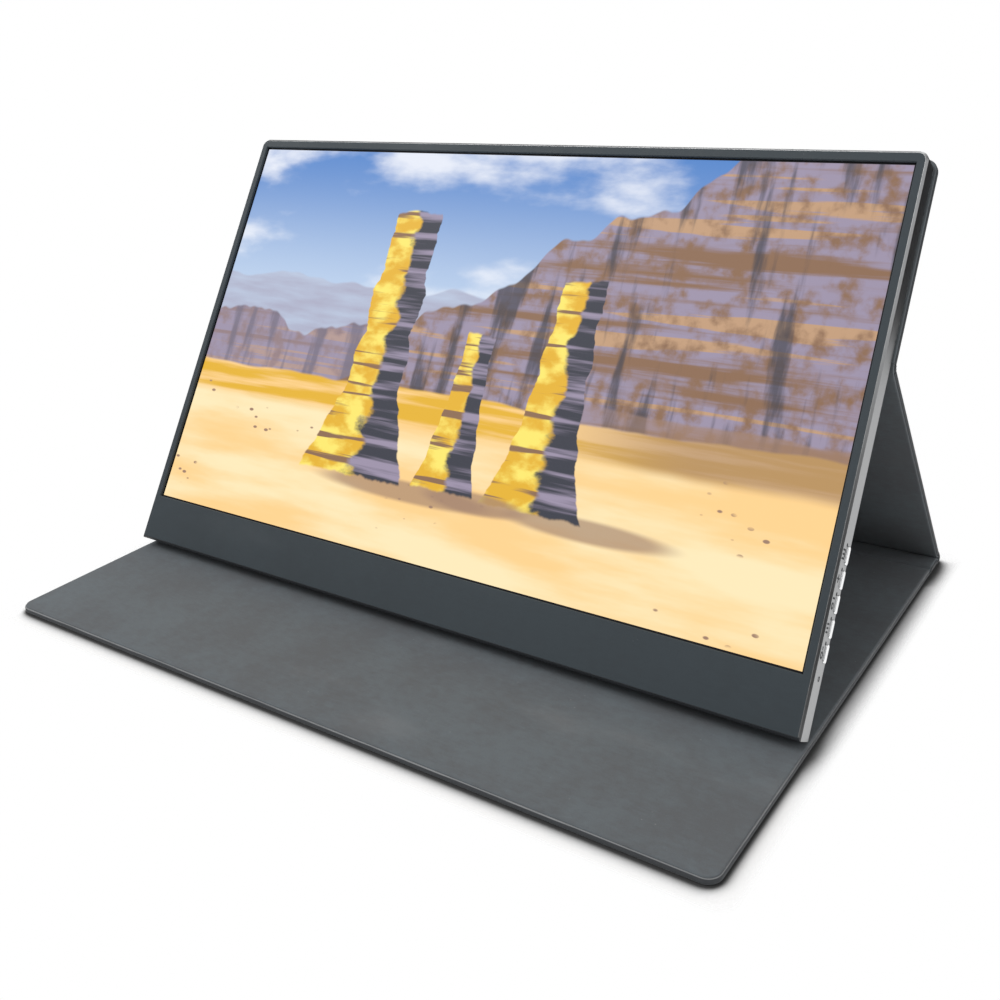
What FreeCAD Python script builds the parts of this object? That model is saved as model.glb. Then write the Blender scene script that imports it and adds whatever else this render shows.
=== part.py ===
import FreeCAD, Part
import math
import os
import re

import Sketcher

# A slim portable monitor that stands in its folding cover.
# The cover lies on the table as a flap and a narrow spine, comes up behind as a strut, and its upper
# panel is held to the monitor's back by magnets. The monitor's lower back edge stands on the flap.
#
# Row frame: X to the viewer's right, Y away from the viewer, Z up.
# The origin is the middle of the base's underside: the flap and spine together, on the table.
#
# Each group of pieces has a frame of its own:
#   flap and spine    origin on the fold between them, Y towards the back, Z up
#   strut             origin on the rear fold, Y up the strut, Z out of its lining
#   upper panel       origin beside the middle fold, Y up the monitor's back, Z towards the monitor
#   monitor           origin at the middle of its lower back edge, Y up the screen, Z out of the screen

SIZES = {
    # Picture and housing
    "picture_width": 344.16,
    "picture_height": 193.59,
    "picture_border": 0.8,
    "side_margin": 4.92,
    "top_margin": 5.41,
    "chin_height": 23.5,
    "housing_depth": 11.0,
    "housing_corner": 4.0,
    "rim_thickness": 1.0,
    "back_thickness": 1.2,
    "ledge_width": 1.2,
    "cavity_corner": 1.2,
    "front_chamfer": 0.9,
    "back_round": 1.2,
    "lean_angle": 32.2,
    "stand_gap": 0.3,
    "cut_overrun": 1.0,
    # Front bezel
    "bezel_thickness": 1.2,
    "bezel_clearance": 0.1,
    "window_chamfer": 0.3,
    "rib_thickness": 1.2,
    "rib_depth": 2.4,
    "rib_inset": 4.0,
    "rib_end_margin": 26.0,
    # Display stack, front to back
    "tape_thickness": 0.2,
    "polarizer_thickness": 0.2,
    "polarizer_margin": 1.4,
    "glass_thickness": 1.0,
    "film_thickness": 0.2,
    "guide_thickness": 0.6,
    "tray_thickness": 0.4,
    "tray_wall": 0.4,
    "module_margin": 2.4,
    "driver_ledge": 10.0,
    "film_clearance": 0.3,
    "light_bar_width": 2.0,
    "light_bar_gap": 0.2,
    "ear_length": 7.0,
    "ear_width": 8.0,
    "ear_corner": 1.5,
    # Board along the display's lower edge, and its flexes
    "panel_board_width": 280.0,
    "panel_board_depth": 10.0,
    "panel_board_inset": 1.0,
    "panel_board_thickness": 0.8,
    "flex_width": 20.0,
    "flex_thickness": 0.15,
    "flex_lap": 3.2,
    "flex_clearance": 0.25,
    # Cover panels
    "cover_overhang": 1.0,
    "cover_corner": 5.5,
    "skin_thickness": 0.7,
    "board_thickness": 1.6,
    "lining_thickness": 0.7,
    "hem_width": 1.5,
    "lining_inset": 0.6,
    "edge_round": 0.5,
    "flap_reach": 10.5,
    "spine_length": 15.0,
    "strut_length": 150.0,
    "mid_fold_height": 140.0,
    "top_overhang": 2.0,
    "flap_fold_gap": 2.0,
    "rear_fold_gap": 3.6,
    "mid_fold_gap": 2.0,
    "fold_clearance": 0.3,
    "bead_margin": 0.1,
    # Magnets
    "magnet_length": 30.0,
    "magnet_width": 10.0,
    "magnet_thickness": 2.0,
    "magnet_drop": 37.5,
    "inner_magnet_place": 50.0,
    "outer_magnet_place": 130.0,
    "flap_magnet_setback": 14.0,
    "magnet_clearance": 0.1,
    # Keys in the right wall
    "key_count": 5,
    "key_pitch": 9.0,
    "first_key_height": 31.6,
    "key_length": 6.9,
    "key_width": 3.2,
    "key_corner": 1.0,
    "key_stand": 0.4,
    "key_clearance": 0.1,
    "key_edge_round": 0.3,
    "key_travel": 0.3,
    "key_level": 3.2,
    "flange_margin": 0.25,
    "flange_thickness": 0.8,
    "switch_thickness": 1.4,
    "switch_width": 3.4,
    "key_board_thickness": 1.0,
    "key_board_height": 5.4,
    "key_board_margin": 4.0,
    "light_height": 22.4,
    "light_level": 4.9,
    "light_radius": 0.6,
    "light_clearance": 0.1,
    # Sockets in the left wall
    "port_level": 3.9,
    "port_inset": 0.2,
    "port_clearance": 0.15,
    "usb_width": 8.94,
    "usb_height": 3.16,
    "usb_corner": 1.5,
    "usb_depth": 7.3,
    "first_usb_place": 46.0,
    "usb_pitch": 14.0,
    "video_width": 11.2,
    "video_height": 3.2,
    "video_corner": 0.6,
    "video_depth": 7.5,
    "video_place": 76.0,
    "shell_wall": 0.3,
    "shell_back": 0.7,
    "tongue_thickness": 0.7,
    "tongue_side_gap": 1.1,
    "tongue_setback": 0.8,
    "jack_place": 32.0,
    "jack_bore_radius": 1.8,
    "jack_bore_depth": 14.0,
    "jack_nose_radius": 2.5,
    "jack_clearance": 0.1,
    "jack_width": 6.0,
    "jack_height": 5.1,
    "jack_length": 13.5,
    # Main board
    "main_board_width": 70.0,
    "main_board_length": 57.0,
    "main_board_thickness": 0.8,
    "board_clearance": 0.3,
    "post_radius": 2.0,
    "post_inset": 3.6,
    "ear_post_radius": 2.5,
    "screw_radius": 0.8,
    "screw_clearance": 0.05,
    "screw_head_radius": 1.6,
    "screw_head_height": 0.4,
    "screw_length": 3.4,
    "can_width": 26.0,
    "can_length": 22.0,
    "can_height": 2.2,
    "can_wall": 0.2,
    "can_inset": 24.0,
    "can_rise": 10.0,
    "scaler_size": 14.0,
    "scaler_height": 1.4,
    "chip_size": 5.0,
    "chip_height": 1.1,
    "cable_width": 12.0,
    "cable_thickness": 0.3,
    "cable_lap": 6.0,
    "cable_inset": 18.0,
    "ribbon_width": 6.0,
    "ribbon_place": 50.0,
    # Speakers
    "speaker_length": 40.0,
    "speaker_width": 12.0,
    "speaker_height": 3.6,
    "speaker_corner": 1.0,
    "speaker_side_margin": 62.0,
    "speaker_inset": 4.5,
    "membrane_depth": 0.6,
    "gasket_thickness": 0.4,
    "gasket_rim": 1.5,
    "sound_hole_radius": 0.6,
    "sound_hole_pitch": 3.0,
    "sound_hole_count": 9,
    "wire_radius": 0.5,
    "wire_level": 4.4,
    "left_wire_inset": 9.5,
    "right_wire_inset": 7.0,
    "wire_run_height": 20.0,
}

# Places as shares of a board's size from its corner, or of the display's width from its middle.
CHIP_PLACE_SHARES = ((0.12, 0.52), (0.80, 0.28), (0.80, 0.52), (0.80, 0.76))
EAR_PLACE_SHARES = (-0.43, -0.085, 0.085, 0.43)
FLEX_PLACE_SHARES = (-0.345, -0.1725, 0, 0.1725, 0.345)

# Sizes that follow from the driving ones.
DERIVED = {
    "housing_width": "picture_width + 2 * side_margin",
    "housing_height": "chin_height + picture_height + top_margin",
    "inner_margin": "rim_thickness + ledge_width",
    "inner_half_width": "housing_width / 2 - inner_margin",
    "bezel_margin": "rim_thickness + bezel_clearance",
    "cover_width": "housing_width + 2 * cover_overhang",
    "flap_length": "housing_height + flap_reach",
    "magnet_height": "housing_height - magnet_drop",
    "panel_thickness": "skin_thickness + board_thickness + lining_thickness",
    "half_panel": "panel_thickness / 2",
    "strip_thickness": "skin_thickness + lining_thickness",
    "base_length": "flap_length + spine_length + half_panel",
    "flap_fold_place": "flap_length - base_length / 2",
    "rear_fold_place": "flap_fold_place + spine_length",
    # The lowest line of the rounded lower back edge stands just above the flap's lining.
    "edge_drop": "back_round * (cos(lean_angle) + sin(lean_angle) - 1)",
    "monitor_rise": "panel_thickness + stand_gap - edge_drop",
    "fold_standoff": "half_panel + fold_clearance",
    "mid_fold_rise": "monitor_rise + mid_fold_height * cos(lean_angle) - fold_standoff * sin(lean_angle)",
    "strut_angle": "asin((mid_fold_rise - half_panel) / strut_length) / (1 deg)",
    "mid_fold_place": "rear_fold_place - strut_length * cos(strut_angle)",
    "monitor_place": "mid_fold_place - mid_fold_height * sin(lean_angle) - fold_standoff * cos(lean_angle)",
    "rear_fold_turn": "180 - strut_angle",
    "upper_length": "housing_height - mid_fold_height + top_overhang",
    # Levels in a cover panel, from its middle plane.
    "board_low": "-half_panel + skin_thickness",
    "lining_low": "half_panel - lining_thickness",
    # Levels in the monitor, measured up from its back face.
    "bezel_back": "housing_depth - bezel_thickness",
    "tape_back": "bezel_back - tape_thickness",
    "polarizer_back": "tape_back - polarizer_thickness",
    "glass_back": "polarizer_back - glass_thickness",
    "diffuser_back": "glass_back - film_thickness",
    "prism_back": "diffuser_back - film_thickness",
    "guide_back": "prism_back - guide_thickness",
    "reflector_back": "guide_back - film_thickness",
    "tray_back": "reflector_back - tray_thickness",
    "board_back": "port_level + usb_height / 2",
    "board_front": "board_back + main_board_thickness",
    "speaker_back": "back_thickness + gasket_thickness",
    # Outlines of the display
    "module_width": "picture_width + 2 * module_margin",
    "module_bottom": "chin_height - driver_ledge",
    "module_height": "driver_ledge + picture_height + module_margin",
    "window_width": "picture_width + 2 * picture_border",
    "window_height": "picture_height + 2 * picture_border",
    "window_bottom": "chin_height - picture_border",
    "film_width": "module_width - 2 * (tray_wall + film_clearance)",
    "film_bottom": "module_bottom + tray_wall + light_bar_width + 2 * light_bar_gap",
    "film_height": "module_bottom + module_height - tray_wall - film_clearance - film_bottom",
    "panel_board_bottom": "module_bottom + panel_board_inset",
    "panel_board_top": "panel_board_bottom + panel_board_depth",
    "ear_middle": "module_bottom - ear_length / 2",
    "flex_outside": "module_bottom - flex_clearance - flex_thickness",
    # Main board and sockets
    "main_board_left": "-inner_half_width + board_clearance",
    "main_board_right": "main_board_left + main_board_width",
    "main_board_bottom": "jack_place + jack_width / 2",
    "can_left": "main_board_left + can_inset",
    "can_bottom": "main_board_bottom + can_rise",
    "port_mouth": "-housing_width / 2 + port_inset",
    # Keys, from the wall inwards
    "flange_outer": "inner_half_width - key_clearance",
    "flange_inner": "flange_outer - flange_thickness",
    "switch_outer": "flange_inner - key_travel - key_clearance",
    "key_board_outer": "switch_outer - switch_thickness",
    "key_board_inner": "key_board_outer - key_board_thickness",
    "key_board_bottom": "light_height - key_board_margin",
    "key_board_top": "first_key_height + (key_count - 1) * key_pitch + key_length / 2 + key_board_margin",
    # Speakers and their wires
    "speaker_place": "housing_width / 2 - speaker_side_margin",
    "speaker_top": "speaker_inset + speaker_width",
    "speaker_inner_end": "speaker_place - speaker_length / 2",
    "wire_start": "speaker_inner_end + gasket_rim + wire_radius",
    "wire_turn": "main_board_right - right_wire_inset",
    "wire_end": "main_board_bottom + cable_lap",
}

NAME = re.compile(r"[a-z][a-z_]+")
STRAIGHT = "rotation(0; 0; 0)"
ALONG_X = "rotation(vector(0; 1; 0); 90)"
ALONG_Y = "rotation(vector(1; 0; 0); -90)"
ALL_CORNERS = (0, 1, 2, 3)
NEAR_CORNERS = (0, 1)
FAR_CORNERS = (2, 3)
HAIR_SHARE = 0.0005
# A rectangle is drawn with corners of radius 1 before its dimensions size it: its side, in radii,
# and the quarter turns where the first corner's arc starts and ends.
UNIT_SIDE_SHARE = 3
ARC_QUARTERS = (2, 3)

doc = FreeCAD.newDocument("portable_monitor")
sheet = doc.addObject("Spreadsheet::Sheet", "Sizes")
for row, (alias, number) in enumerate(SIZES.items(), start=1):
    sheet.set(f"A{row}", alias)
    sheet.set(f"B{row}", str(number))
    sheet.setAlias(f"B{row}", alias)
doc.recompute()

sub_parts = []


# Formulas and frames

def formula(text):
    """Spells a sum of named sizes as an expression on the sheet."""
    def spell(match):
        word = match.group(0)
        if word in DERIVED:
            return "(" + formula(DERIVED[word]) + ")"
        return "Sizes." + word if word in SIZES else word
    return NAME.sub(spell, str(text))


def bind(item, **formulas):
    """Ties properties of an object to formulas; a double underscore stands for a dot."""
    for key, text in formulas.items():
        item.setExpression(key.replace("__", "."), formula(text))
    return item


def spot(frame, place, turn=STRAIGHT):
    """The expression for a place in a frame."""
    x, y, z = (formula(text) for text in place)
    return f"{frame.Name}.Placement * placement(vector({x}; {y}; {z}); {formula(turn)})"


def make_frame(name, y, z, turn):
    """A coordinate system on the plane of symmetry, turned about the row's X axis."""
    frame = doc.addObject("Part::LocalCoordinateSystem", name)
    turned = f"rotation(vector(1; 0; 0); {formula(turn)})"
    frame.setExpression("Placement", f"placement(vector(0; {formula(y)}; {formula(z)}); {turned})")
    return frame


# Solids

def finished(item, label):
    """Marks an object as a sub-part under its own label."""
    item.Label = label
    sub_parts.append(item)
    return item


def block(name, frame, size, corner):
    """A plain block, with its lowest corner at a place in a frame."""
    item = doc.addObject("Part::Box", name)
    bind(item, Length=size[0], Width=size[1], Height=size[2])
    item.setExpression("Placement", spot(frame, corner))
    return item


def centred_block(name, frame, size, middle, low):
    """A block about an upright line through a middle in x and y, from its lowest level up."""
    corner = (f"{middle[0]} - ({size[0]}) / 2", f"{middle[1]} - ({size[1]}) / 2", low)
    return block(name, frame, size, corner)


def rod(name, frame, radius, length, start, turn=STRAIGHT):
    """A round rod from a place in a frame, along its own Z axis, turned as asked."""
    item = doc.addObject("Part::Cylinder", name)
    bind(item, Radius=radius, Height=length)
    item.setExpression("Placement", spot(frame, start, turn))
    return item


def ball(name, frame, radius, middle):
    """A ball about a place in a frame."""
    item = doc.addObject("Part::Sphere", name)
    bind(item, Radius=radius)
    item.setExpression("Placement", spot(frame, middle))
    return item


def joined(name, items):
    """One solid made of several that meet."""
    item = doc.addObject("Part::MultiFuse", name)
    item.Shapes = items
    item.Refine = True
    return item


def cut(name, base, tool):
    """A solid less another."""
    item = doc.addObject("Part::Cut", name)
    item.Base = base
    item.Tool = tool
    return item


def group(name, items):
    """Several like solids kept as one sub-part."""
    item = doc.addObject("Part::Compound", name)
    item.Links = items
    return item


# Sketches and features of bodies

def origin_feature(body, role):
    """A body's own origin plane or axis."""
    return next(item for item in body.Origin.OriginFeatures if item.Role == role)


def make_body(name, frame):
    """An empty body that sits in a frame."""
    body = doc.addObject("PartDesign::Body", name)
    body.setExpression("Placement", frame.Name + ".Placement")
    return body


def make_sketch(body, name, place, plane="XY_Plane"):
    """A sketch on one of the body's origin planes: its start in the plane, then its height above it."""
    sketch = body.newObject("Sketcher::SketchObject", name)
    sketch.AttachmentSupport = [(origin_feature(body, plane), "")]
    sketch.MapMode = "FlatFace"
    for axis, text in zip("xyz", place):
        bind(sketch, **{f"AttachmentOffset__Base__{axis}": text})
    return sketch


def dimension(sketch, constraint, name, text):
    """Adds a dimension and ties it to a formula."""
    index = sketch.addConstraint(constraint)
    sketch.renameConstraint(index, name)
    sketch.setExpression("Constraints." + name, formula(text))


def draw_outline(sketch, width, length, radius="0", rounded=()):
    """A rectangle from the sketch's origin. Corners named in rounded, counted from there, become arcs."""
    ways = [FreeCAD.Vector(x, y, 0) for x, y in ((1, 0), (0, 1), (-1, 0), (0, -1))]
    points = [FreeCAD.Vector(x, y, 0) * UNIT_SIDE_SHARE for x, y in ((0, 0), (1, 0), (1, 1), (0, 1))]
    for side, way in enumerate(ways):
        after = (side + 1) % 4
        start = points[side] + way * (side in rounded)
        end = points[after] - way * (after in rounded)
        sketch.addGeometry(Part.LineSegment(start, end))
        sketch.addConstraint(Sketcher.Constraint("Vertical" if side % 2 else "Horizontal", side))
    arcs = []
    for corner, way in enumerate(ways):
        before = (corner - 1) % 4
        if corner not in rounded:
            sketch.addConstraint(Sketcher.Constraint("Coincident", before, 2, corner, 1))
            continue
        circle = Part.Circle(points[corner] + way - ways[before], FreeCAD.Vector(0, 0, 1), 1)
        start, end = (math.radians(90 * (corner + quarter)) for quarter in ARC_QUARTERS)
        arcs.append(sketch.addGeometry(Part.ArcOfCircle(circle, start, end)))
        sketch.addConstraint(Sketcher.Constraint("Tangent", before, 2, arcs[-1], 1))
        sketch.addConstraint(Sketcher.Constraint("Tangent", arcs[-1], 2, corner, 1))
    for arc in arcs[1:]:
        sketch.addConstraint(Sketcher.Constraint("Equal", arcs[0], arc))
    sketch.addConstraint(Sketcher.Constraint("PointOnObject", 0, 1, -1))
    sketch.addConstraint(Sketcher.Constraint("PointOnObject", 3, 1, -2))
    dimension(sketch, Sketcher.Constraint("DistanceX", 3, 1, 1, 1, UNIT_SIDE_SHARE), "width", width)
    dimension(sketch, Sketcher.Constraint("DistanceY", 0, 1, 2, 1, UNIT_SIDE_SHARE), "length", length)
    if arcs:
        dimension(sketch, Sketcher.Constraint("Radius", arcs[0], 1), "corner_radius", radius)


def draw_circle(sketch, name, radius):
    """A circle about the sketch's origin."""
    circle = sketch.addGeometry(Part.Circle(FreeCAD.Vector(), FreeCAD.Vector(0, 0, 1), 1))
    sketch.addConstraint(Sketcher.Constraint("Coincident", circle, 3, -1, 1))
    dimension(sketch, Sketcher.Constraint("Radius", circle, 1), name, radius)


def volume(body):
    """The volume of a body as it stands."""
    return body.Shape.Volume if body.Shape.Solids else 0


def pad(body, sketch, height):
    """Raises a sketch by a height."""
    before = volume(body)
    feature = body.newObject("PartDesign::Pad", sketch.Name + "_pad")
    feature.Profile = sketch
    bind(feature, Length=height)
    doc.recompute()
    if volume(body) <= before:
        raise ValueError(feature.Name + " adds nothing")
    return feature


def pocket(body, sketch, depth):
    """Cuts a sketch's outline away below it."""
    before = volume(body)
    feature = body.newObject("PartDesign::Pocket", sketch.Name + "_pocket")
    feature.Profile = sketch
    bind(feature, Length=depth)
    doc.recompute()
    if volume(body) >= before:
        raise ValueError(feature.Name + " cuts nothing")
    return feature


def rim(feature, axis, end):
    """The edges, by name, that lie wholly at one end of a feature: Min or Max along an axis."""
    bounds = feature.Shape.BoundBox
    level = getattr(bounds, axis + end)
    hair = HAIR_SHARE * bounds.DiagonalLength
    names = {}
    for number, edge in enumerate(feature.Shape.Edges, start=1):
        low, high = (getattr(edge.BoundBox, axis + side) for side in ("Min", "Max"))
        if abs(low - level) < hair and abs(high - level) < hair:
            names[f"Edge{number}"] = edge
    return names


def inner_rim(feature):
    """The edges at the top of a feature that don't reach its outline, such as a window's."""
    bounds = feature.Shape.BoundBox
    hair = HAIR_SHARE * bounds.DiagonalLength
    inside = {}
    for name, edge in rim(feature, "Z", "Max").items():
        box = edge.BoundBox
        clear_across = box.XMin - bounds.XMin > hair and bounds.XMax - box.XMax > hair
        clear_along = box.YMin - bounds.YMin > hair and bounds.YMax - box.YMax > hair
        if clear_across and clear_along:
            inside[name] = edge
    return inside


def soften(body, kind, feature, edges, size):
    """A fillet or chamfer on named edges of a feature."""
    made = body.newObject("PartDesign::" + kind, feature.Name + "_" + kind.lower())
    made.Base = (feature, list(edges))
    bind(made, **{"Radius" if kind == "Fillet" else "Size": size})
    doc.recompute()
    return made


def repeat(body, feature, role, step, count):
    """Repeats a feature along one of the body's axes."""
    pattern = body.newObject("PartDesign::LinearPattern", feature.Name + "_row")
    pattern.Originals = [feature]
    pattern.Direction = (origin_feature(body, role), [""])
    pattern.Mode = "Spacing"
    bind(pattern, Offset=step, Occurrences=count)
    body.Tip = pattern
    doc.recompute()
    return pattern


def plate(name, frame, size, corner, radius="0", rounded=()):
    """A body of one plate, with its lowest corner at a place in a frame, and the plate's own feature."""
    body = make_body(name, frame)
    outline = make_sketch(body, name + "_outline", corner)
    draw_outline(outline, size[0], size[1], radius, rounded)
    return body, pad(body, outline, size[2])


def opening(body, name, size, corner, depth, radius="0", rounded=()):
    """Cuts a rectangle with its near left corner at a place, downwards from there."""
    outline = make_sketch(body, name, corner)
    draw_outline(outline, size[0], size[1], radius, rounded)
    return pocket(body, outline, depth)


def wall_opening(body, name, size, middle, start, depth, radius):
    """Cuts a rounded slot towards -X from the plane x = start; size and middle are in y and z."""
    place = [f"{centre} - ({extent}) / 2" for centre, extent in zip(middle, size)]
    outline = make_sketch(body, name, (*place, start), "YZ_Plane")
    draw_outline(outline, size[0], size[1], radius, ALL_CORNERS)
    return pocket(body, outline, depth)


base_frame = make_frame("base_frame", "flap_fold_place", "half_panel", "0")
strut_frame = make_frame("strut_frame", "rear_fold_place", "half_panel", "rear_fold_turn")
upper_frame = make_frame(
    "upper_frame",
    "mid_fold_place - fold_clearance * cos(lean_angle)",
    "mid_fold_rise + fold_clearance * sin(lean_angle)",
    "90 - lean_angle",
)
monitor_frame = make_frame("monitor_frame", "monitor_place", "monitor_rise", "90 - lean_angle")
doc.recompute()


# Cover: each stiff panel is an outer skin turned up round a board, with a lining over both

MAGNET_PLACES = ("-outer_magnet_place", "-inner_magnet_place", "inner_magnet_place", "outer_magnet_place")


def panel_skin(name, frame, start, length, rounded):
    """The outer skin, turned up round the board on all sides."""
    skin, shell = plate(
        name + "_skin",
        frame,
        ("cover_width", length, "skin_thickness + board_thickness"),
        ("-cover_width / 2", start, "-half_panel"),
        "cover_corner",
        rounded,
    )
    soften(skin, "Fillet", shell, rim(shell, "Z", "Min"), "edge_round")
    opening(
        skin,
        name + "_seat",
        ("cover_width - 2 * hem_width", f"{length} - 2 * hem_width"),
        ("-cover_width / 2 + hem_width", f"{start} + hem_width", "lining_low"),
        "board_thickness",
        "cover_corner - hem_width",
        rounded,
    )
    finished(skin, name + "_leather")


def panel_stiffener(name, frame, start, length, rounded, magnet_line):
    """The stiff board, with slots for magnets where the panel holds them."""
    board, _ = plate(
        name + "_stiffener",
        frame,
        ("cover_width - 2 * hem_width", f"{length} - 2 * hem_width", "board_thickness"),
        ("-cover_width / 2 + hem_width", f"{start} + hem_width", "board_low"),
        "cover_corner - hem_width",
        rounded,
    )
    if magnet_line:
        for number, place in enumerate(MAGNET_PLACES):
            corner = (f"{place} - magnet_length / 2 - magnet_clearance",
                      f"{magnet_line} - magnet_width / 2 - magnet_clearance", "lining_low")
            opening(board, f"{name}_magnet_slot_{number}",
                    ("magnet_length + 2 * magnet_clearance", "magnet_width + 2 * magnet_clearance"),
                    corner, "board_thickness")
    finished(board, name + "_board")


def panel_lining(name, frame, start, length, rounded):
    """The lining over the board and the skin's turned edge."""
    lining, cloth = plate(
        name + "_cloth",
        frame,
        ("cover_width - 2 * lining_inset", f"{length} - 2 * lining_inset", "lining_thickness"),
        ("-cover_width / 2 + lining_inset", f"{start} + lining_inset", "lining_low"),
        "cover_corner - lining_inset",
        rounded,
    )
    soften(lining, "Fillet", cloth, rim(cloth, "Z", "Max"), "edge_round")
    finished(lining, name + "_lining")


def cover_panel(name, frame, start, length, rounded=(), magnet_line=None):
    """The skin, board and lining of the panel that starts at y = start in its frame."""
    panel_skin(name, frame, start, length, rounded)
    panel_stiffener(name, frame, start, length, rounded, magnet_line)
    panel_lining(name, frame, start, length, rounded)


def magnet_row(label, frame, line, low, thickness):
    """Four flat magnets across the part, on the line y = line."""
    size = ("magnet_length", "magnet_width", thickness)
    magnets = [centred_block(f"{label}_{number}", frame, size, (place, line), low)
               for number, place in enumerate(MAGNET_PLACES)]
    finished(group(label, magnets), label)


flap_magnet_line = "-flap_length + flap_magnet_setback"
upper_magnet_line = "magnet_height - mid_fold_height"
cover_panel("flap", base_frame, "-flap_length", "(flap_length - flap_fold_gap)", NEAR_CORNERS,
            flap_magnet_line)
magnet_row("flap_magnets", base_frame, flap_magnet_line, "board_low", "board_thickness")
cover_panel("spine", base_frame, "flap_fold_gap", "(spine_length - flap_fold_gap - rear_fold_gap)")
cover_panel("strut", strut_frame, "rear_fold_gap", "(strut_length - rear_fold_gap - mid_fold_gap)")
cover_panel("upper", upper_frame, "mid_fold_gap", "(upper_length - mid_fold_gap)", FAR_CORNERS,
            upper_magnet_line)
magnet_row("holder_magnets", upper_frame, upper_magnet_line, "board_low", "board_thickness")


# Folds: skin and lining bonded together, with no board between

FOLD_LEFT = "-cover_width / 2 + lining_inset"
FOLD_WIDTH = "cover_width - 2 * lining_inset"


def fold_sheet(name, frame, start, length, low):
    """A flat stretch of fold material."""
    return block(name, frame, (FOLD_WIDTH, length, "strip_thickness"), (FOLD_LEFT, start, low))


def flap_fold():
    """The fold between flap and spine, flat at rest."""
    strip = fold_sheet("flap_fold_sheet", base_frame, "-flap_fold_gap", "2 * flap_fold_gap", "-half_panel")
    finished(strip, "flap_fold_strip")


def rear_fold():
    """The fold round the nose between spine and strut: a flat stretch, an arc and another flat stretch."""
    floor = fold_sheet("nose_floor", base_frame, "spine_length - rear_fold_gap", "rear_fold_gap",
                       "-half_panel")
    rise = fold_sheet("nose_rise", strut_frame, "0", "rear_fold_gap", "-half_panel")
    axis = (FOLD_LEFT, "spine_length", "0")
    outside = rod("nose_outside", base_frame, "half_panel", FOLD_WIDTH, axis, ALONG_X)
    inside = rod("nose_inside", base_frame, "half_panel - strip_thickness", FOLD_WIDTH, axis, ALONG_X)
    bind(outside, Angle="rear_fold_turn")
    finished(joined("rear_fold_sheet", [floor, cut("nose_arc", outside, inside), rise]), "rear_fold_strip")


def mid_fold():
    """The fold between strut and upper panel, on their middle plane, with a bead on its axis."""
    low = "-strip_thickness / 2"
    lower = fold_sheet("mid_fold_lower", strut_frame, "strut_length - mid_fold_gap", "mid_fold_gap", low)
    upper = fold_sheet("mid_fold_upper", upper_frame, "0", "mid_fold_gap", low)
    bead = rod("mid_fold_bead", upper_frame, "strip_thickness / 2 + bead_margin", FOLD_WIDTH,
               (FOLD_LEFT, "0", "-fold_clearance"), ALONG_X)
    finished(joined("mid_fold_sheet", [lower, bead, upper]), "mid_fold_strip")


flap_fold()
rear_fold()
mid_fold()


# Rear shell: a shallow metal tray with a seat for the bezel, posts, and openings in its walls

BOARD_POSTS = [(x, y) for x in ("main_board_left + post_inset", "main_board_right - post_inset")
               for y in ("main_board_bottom + post_inset",
                         "main_board_bottom + main_board_length - post_inset")]
EAR_PLACES = [f"{share} * module_width" for share in EAR_PLACE_SHARES]
KEY_PLACES = [f"first_key_height + {number} * key_pitch" for number in range(SIZES["key_count"])]
SIDES = (("left", "-"), ("right", ""))
WALL_CUT = "inner_margin + 2 * cut_overrun"
SOCKETS = (("usb_port_1", "usb", "first_usb_place"),
           ("usb_port_2", "usb", "first_usb_place + usb_pitch"),
           ("hdmi_port", "video", "video_place"))


def socket_level(kind):
    """The middle of a socket that hangs from the main board's back face."""
    return f"board_back - {kind}_height / 2"


def hollow(shell, name, margin, depth, radius, rounded):
    """Opens the housing from the front, inside a margin."""
    opening(
        shell,
        name,
        (f"housing_width - 2 * {margin}", f"housing_height - 2 * {margin}"),
        (f"-housing_width / 2 + {margin}", margin, "housing_depth"),
        depth,
        radius,
        rounded,
    )


def post(shell, name, middle, radius, top):
    """A screw post on the back skin, with its pilot hole."""
    outline = make_sketch(shell, name, (*middle, "back_thickness"))
    draw_circle(outline, "outside", radius)
    draw_circle(outline, "pilot", "screw_radius + screw_clearance")
    pad(shell, outline, f"{top} - back_thickness")


def key_openings(shell):
    """A row of key windows and the light's hole in the right wall."""
    start = "housing_width / 2 + cut_overrun"
    size = ("key_length + 2 * key_clearance", "key_width + 2 * key_clearance")
    first = wall_opening(shell, "key_window", size, ("first_key_height", "key_level"), start, WALL_CUT,
                         "key_corner + key_clearance")
    repeat(shell, first, "Y_Axis", "key_pitch", "key_count")
    hole = make_sketch(shell, "light_hole", ("light_height", "light_level", start), "YZ_Plane")
    draw_circle(hole, "bore", "light_radius")
    pocket(shell, hole, WALL_CUT)


def socket_openings(shell):
    """The windows of the sockets in the left wall."""
    start = "-inner_half_width + cut_overrun"
    for label, kind, place in SOCKETS:
        size = (f"{kind}_width + 2 * port_clearance", f"{kind}_height + 2 * port_clearance")
        wall_opening(shell, label + "_window", size, (place, socket_level(kind)), start, WALL_CUT,
                     f"{kind}_corner + port_clearance")
    hole = make_sketch(shell, "jack_hole", ("jack_place", "port_level", start), "YZ_Plane")
    draw_circle(hole, "bore", "jack_nose_radius + jack_clearance")
    pocket(shell, hole, WALL_CUT)


def sound_holes(shell):
    """A row of small holes in the back skin under each speaker."""
    for side, sign in SIDES:
        first = f"{sign}speaker_place - (sound_hole_count - 1) / 2 * sound_hole_pitch"
        place = (first, "speaker_inset + speaker_width / 2", "back_thickness + cut_overrun")
        hole = make_sketch(shell, side + "_sound_hole", place)
        draw_circle(hole, "bore", "sound_hole_radius")
        row = pocket(shell, hole, "back_thickness + 2 * cut_overrun")
        repeat(shell, row, "X_Axis", "sound_hole_pitch", "sound_hole_count")


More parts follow.
